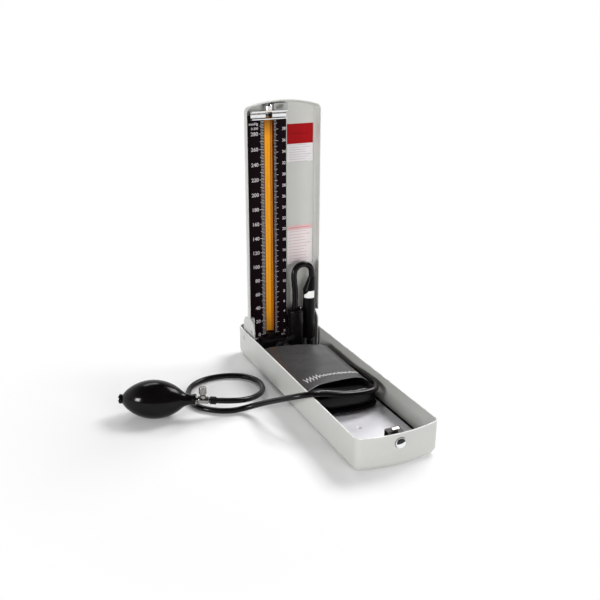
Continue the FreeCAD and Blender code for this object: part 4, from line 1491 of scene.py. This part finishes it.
        return obj

    def lip_binding(self) -> bpy.types.Object:
        """Thin smooth binding on the mouth's lower lip: a tube along the lip's line, thinner at its ends.

        Returns:
            The linked object.
        """
        radius, lift, taper, smoothing = 0.00075, 0.0004, 0.004, 6
        x = np.linspace(-0.0310, 0.0370, 60)
        path = np.stack([x, self.lip_front(x) - lift, self.lip_height(x) + lift], -1)
        for _ in range(smoothing):
            path[1:-1] = (path[:-2] + 2 * path[1:-1] + path[2:]) / 4
        ends = np.clip(np.minimum(x - x[0], x[-1] - x) / taper, 0.25, 1)
        return tube_mesh("cuff_lip_binding", path, radius * np.sqrt(ends), 12)

    def build(self) -> None:
        """Make the cuff's layers, its stitches and binding, and dress its bladder and outlets."""
        upper = self.place(self.upper_fold(), Body.CASE, "cuff_nylon", "cuff_fabric")
        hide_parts("cuff_upper_fold")
        middle = self.pillow("cuff_middle_layer", lambda x: self.lower_front(x) + 0.0015,
                             lambda x: self.rear(x) - 0.002, self.split, self.step, 21, 0.0006)
        bottom = self.pillow("cuff_bottom_layer", self.lower_front, lambda x: self.rear(x) - 0.004,
                             self.low, self.split, 33, 0.0005)
        for layer in (middle, bottom):
            self.place(layer, Body.CASE, "cuff_lining", "cuff_fabric")
            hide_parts("cuff_lower_fold")
        self.place(self.stitches(), Body.CASE, "white_thread", "cuff_fabric")
        self.place(self.lip_binding(), Body.CASE, "satin_binding", "cuff_fabric")
        self.dress()


# ---------------------------------------------------------------- scale
@dataclass(frozen=True)
class Word:
    """Printed figure or name: its text, its x, the pressure in mmHg that it stands at, and its size."""
    text: str
    x: float
    pressure: float
    size: float
    align: Align = Align.RIGHT


@dataclass
class Scale(Assembly):
    """Scale plate: graduations and figures on both sides of the tube, strip, rail and tube."""
    zero: float = 0.0405
    full: float = 0.290
    face: float = 0.1320
    tube_x: float = -0.0194
    gap: float = 0.0068
    left_lengths: tuple[float, float, float] = (0.0064, 0.0054, 0.0044)
    left_halves: tuple[float, float] = (0.00032, 0.00024)
    right_lengths: tuple[float, float, float] = (0.0060, 0.0046, 0.0030)
    right_halves: tuple[float, float] = (0.00024, 0.00016)
    lift: float = 0.00012
    sink: float = 0.00005
    nodes = {"black_enamel": ("scale_plate",), "tube_backing": ("tube_backing_strip",),
             "rail_chrome": ("top_rail",), "tube_glass": ("glass_tube",), "cap_plating": ("tube_cap",),
             "mercury_metal": ("mercury",)}

    def height(self, pressure: Array) -> Array:
        """Height of a pressure in mmHg: zero plus the full length in proportion."""
        return self.zero + self.full * np.asarray(pressure, float) / 300.0

    def bars(self, left: Array, right: Array, z: Array, half: Array) -> tuple[Array, Array]:
        """Level bars on the plate's face.

        Args:
            left: x of their left ends.
            right: x of their right ends.
            z: their heights.
            half: their half thicknesses.

        Returns:
            Lowest and highest corners of the bars.
        """
        low = np.stack(np.broadcast_arrays(left, self.face - self.lift, z - half), -1)
        high = np.stack(np.broadcast_arrays(right, self.face + self.sink, z + half), -1)
        return low, high

    def left_marks(self) -> tuple[Array, Array]:
        """Graduations in mmHg: one every 2, longer at 10 and 20.

        Returns:
            Lowest and highest corners of the marks.
        """
        longest, long, short = self.left_lengths
        value = np.arange(0, 301, 2)
        length = np.where(value % 20 == 0, longest, np.where(value % 10 == 0, long, short))
        half = np.where(value % 10 == 0, *self.left_halves)
        right = self.tube_x - self.gap
        return self.bars(right - length, right, self.height(value), half)

    def right_marks(self) -> tuple[Array, Array]:
        """Graduations in kPa: four to each unit, longer at whole units and at even ones.

        Returns:
            Lowest and highest corners of the marks.
        """
        longest, long, short = self.right_lengths
        quarter = np.arange(0, 161)
        quarter = quarter[self.height(quarter / 4 * MMHG_PER_KPA) < self.height(301)]
        length = np.where(quarter % 8 == 0, longest, np.where(quarter % 4 == 0, long, short))
        half = np.where(quarter % 4 == 0, *self.right_halves)
        left = self.tube_x + self.gap
        return self.bars(left, left + length, self.height(quarter / 4 * MMHG_PER_KPA), half)

    def words(self) -> list[Word]:
        """Figures every 20 mmHg and every 2 kPa, and the names of the units.

        Returns:
            The words, from the left side's zero on.
        """
        left, right = self.tube_x - 0.0146, self.tube_x + 0.0205
        figures = [Word(str(v), left, v, 0.0066) for v in range(0, 301, 20)]
        figures += [Word(str(v), right, v * MMHG_PER_KPA, 0.0052, Align.CENTER) for v in range(0, 39, 2)]
        return figures + [Word("mmHg", left, 293, 0.0046), Word("0-300", left, 287, 0.0040),
                          Word("mmHg", self.tube_x - 0.0118, -5.0, 0.0046),
                          Word("kPa", self.tube_x + 0.0188, -5.0, 0.0042, Align.CENTER)]

    def figures(self) -> bpy.types.Object:
        """Figures and the two unit names, as thin raised print.

        A text is turned from its own plane to the plate's: its x stays, and its y becomes the height.

        Returns:
            The linked object.
        """
        proud, thick, boldness = 0.00007, 0.00005, 0.022
        verts, faces, base = [], [], 0
        for word in self.words():
            curve = bpy.data.curves.new("figure", "FONT")
            curve.body, curve.size = word.text, word.size
            curve.align_x, curve.align_y = word.align.value, "CENTER"
            curve.extrude, curve.resolution_u, curve.offset = thick, 3, word.size * boldness
            text = linked("figure", curve)
            mesh = as_mesh(text)
            flat = vertices_of(mesh)
            z = flat[:, 1] + float(self.height(word.pressure))
            verts.append(np.stack([flat[:, 0] + word.x, self.face - proud - flat[:, 2], z], -1))
            faces += [[i + base for i in p.vertices] for p in mesh.polygons]
            base += len(flat)
            bpy.data.objects.remove(text)
            bpy.data.meshes.remove(mesh)
        return mesh_object("scale_figures", np.concatenate(verts), faces, smooth=False)

    def build(self) -> None:
        """Make the print and dress the plate, strip, rail, tube, cap and mercury."""
        for obj in (boxes_mesh("scale_marks_mmhg", *self.left_marks()),
                    boxes_mesh("scale_marks_kpa", *self.right_marks()), self.figures()):
            self.place(obj, Body.LID, "white_print", "label_white")
        self.dress()


# ---------------------------------------------------------------- case, lid and bulb
@dataclass
class Case(Assembly):
    """Tray, floor plate, hinge and latch."""
    spring_axis: tuple[float, float] = (-0.0020, 0.0305)
    spring_ends: tuple[float, float] = (-0.16795, -0.15835)
    spring_radius: float = 0.0032
    wire: float = 0.0007
    turns: int = 4
    stroke: float = 0.0022
    nodes = {"tray_enamel": ("tray",), "silver_grey_enamel": ("hinge_bracket",),
             "brushed_aluminium": ("floor_plate",),
             "dull_zinc": ("hinge_bracket_spacers", "hinge_bracket_rivets", "hinge_pins"),
             # The latch guide is blackened so that its top, above the rim, reads as the dark gap of the latch
             # slot: painted shade.
             "blackened_steel": ("latch_guide",), "dull_plating": ("latch_hook",),
             "button_chrome": ("latch_button",)}

    def spring(self) -> None:
        """Make the button's return spring.

        The wire's middle is at (x, z) = axis + r (cos t, sin t), and its y grows evenly with t.
        """
        t = np.linspace(0, 2 * np.pi * self.turns, self.turns * 20 + 1)
        along = np.linspace(*self.spring_ends, len(t))
        x, z = self.spring_axis
        path = np.stack([x + self.spring_radius * np.cos(t), along, z + self.spring_radius * np.sin(t)], -1)
        coil = tube_mesh("latch_return_spring", path, np.full(len(t), self.wire / 2), 10)
        self.place(coil, Body.CASE, "spring_wire", "spring_steel")
        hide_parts("latch_spring")
        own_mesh(coil)

    def build(self) -> None:
        """Dress the case's nodes and make the spring."""
        self.dress()
        self.spring()


@dataclass
class Lid(Assembly):
    """Lid shell, its panel, labels, reservoir, stopcock and connector."""
    nodes = {"silver_grey_enamel": ("lid",), "grey_panel_enamel": ("lid_inner_panel",),
             "upper_label_print": ("upper_label",), "lower_label_print": ("lower_label",),
             "dull_zinc": ("lid_catch",),
             "black_glaze": ("reservoir", "reservoir_nipple", "reservoir_saddle", "transfer_pipe"),
             "polished_chrome": ("reservoir_filler_screw",), "blackened_steel": ("stopcock_lever",),
             "black_moulding": ("stopcock_body", "hose_connector_sleeve"), "tag_paper": ("paper_tag",)}


@dataclass
class HandBulb(Assembly):
    """Hand bulb and its two valves."""
    nodes = {"black_rubber": ("bulb", "intake_valve_disc"), "black_moulding": ("hose_ferrule",),
             "dull_plating": ("intake_valve", "release_valve_body", "release_valve_needle",
                              "release_valve_knob")}


def main() -> None:
    """Build the surroundings, the cords and every sub-assembly, in that order."""
    logging.basicConfig(level=logging.INFO, format="%(name)s: %(message)s")
    Studio().build()
    paints = paint_all()
    for assembly in (Hoses, Cuff, Scale, Case, Lid, HandBulb):
        assembly(paints).build()
    bpy.context.view_layer.update()


if __name__ == "__main__":
    main()
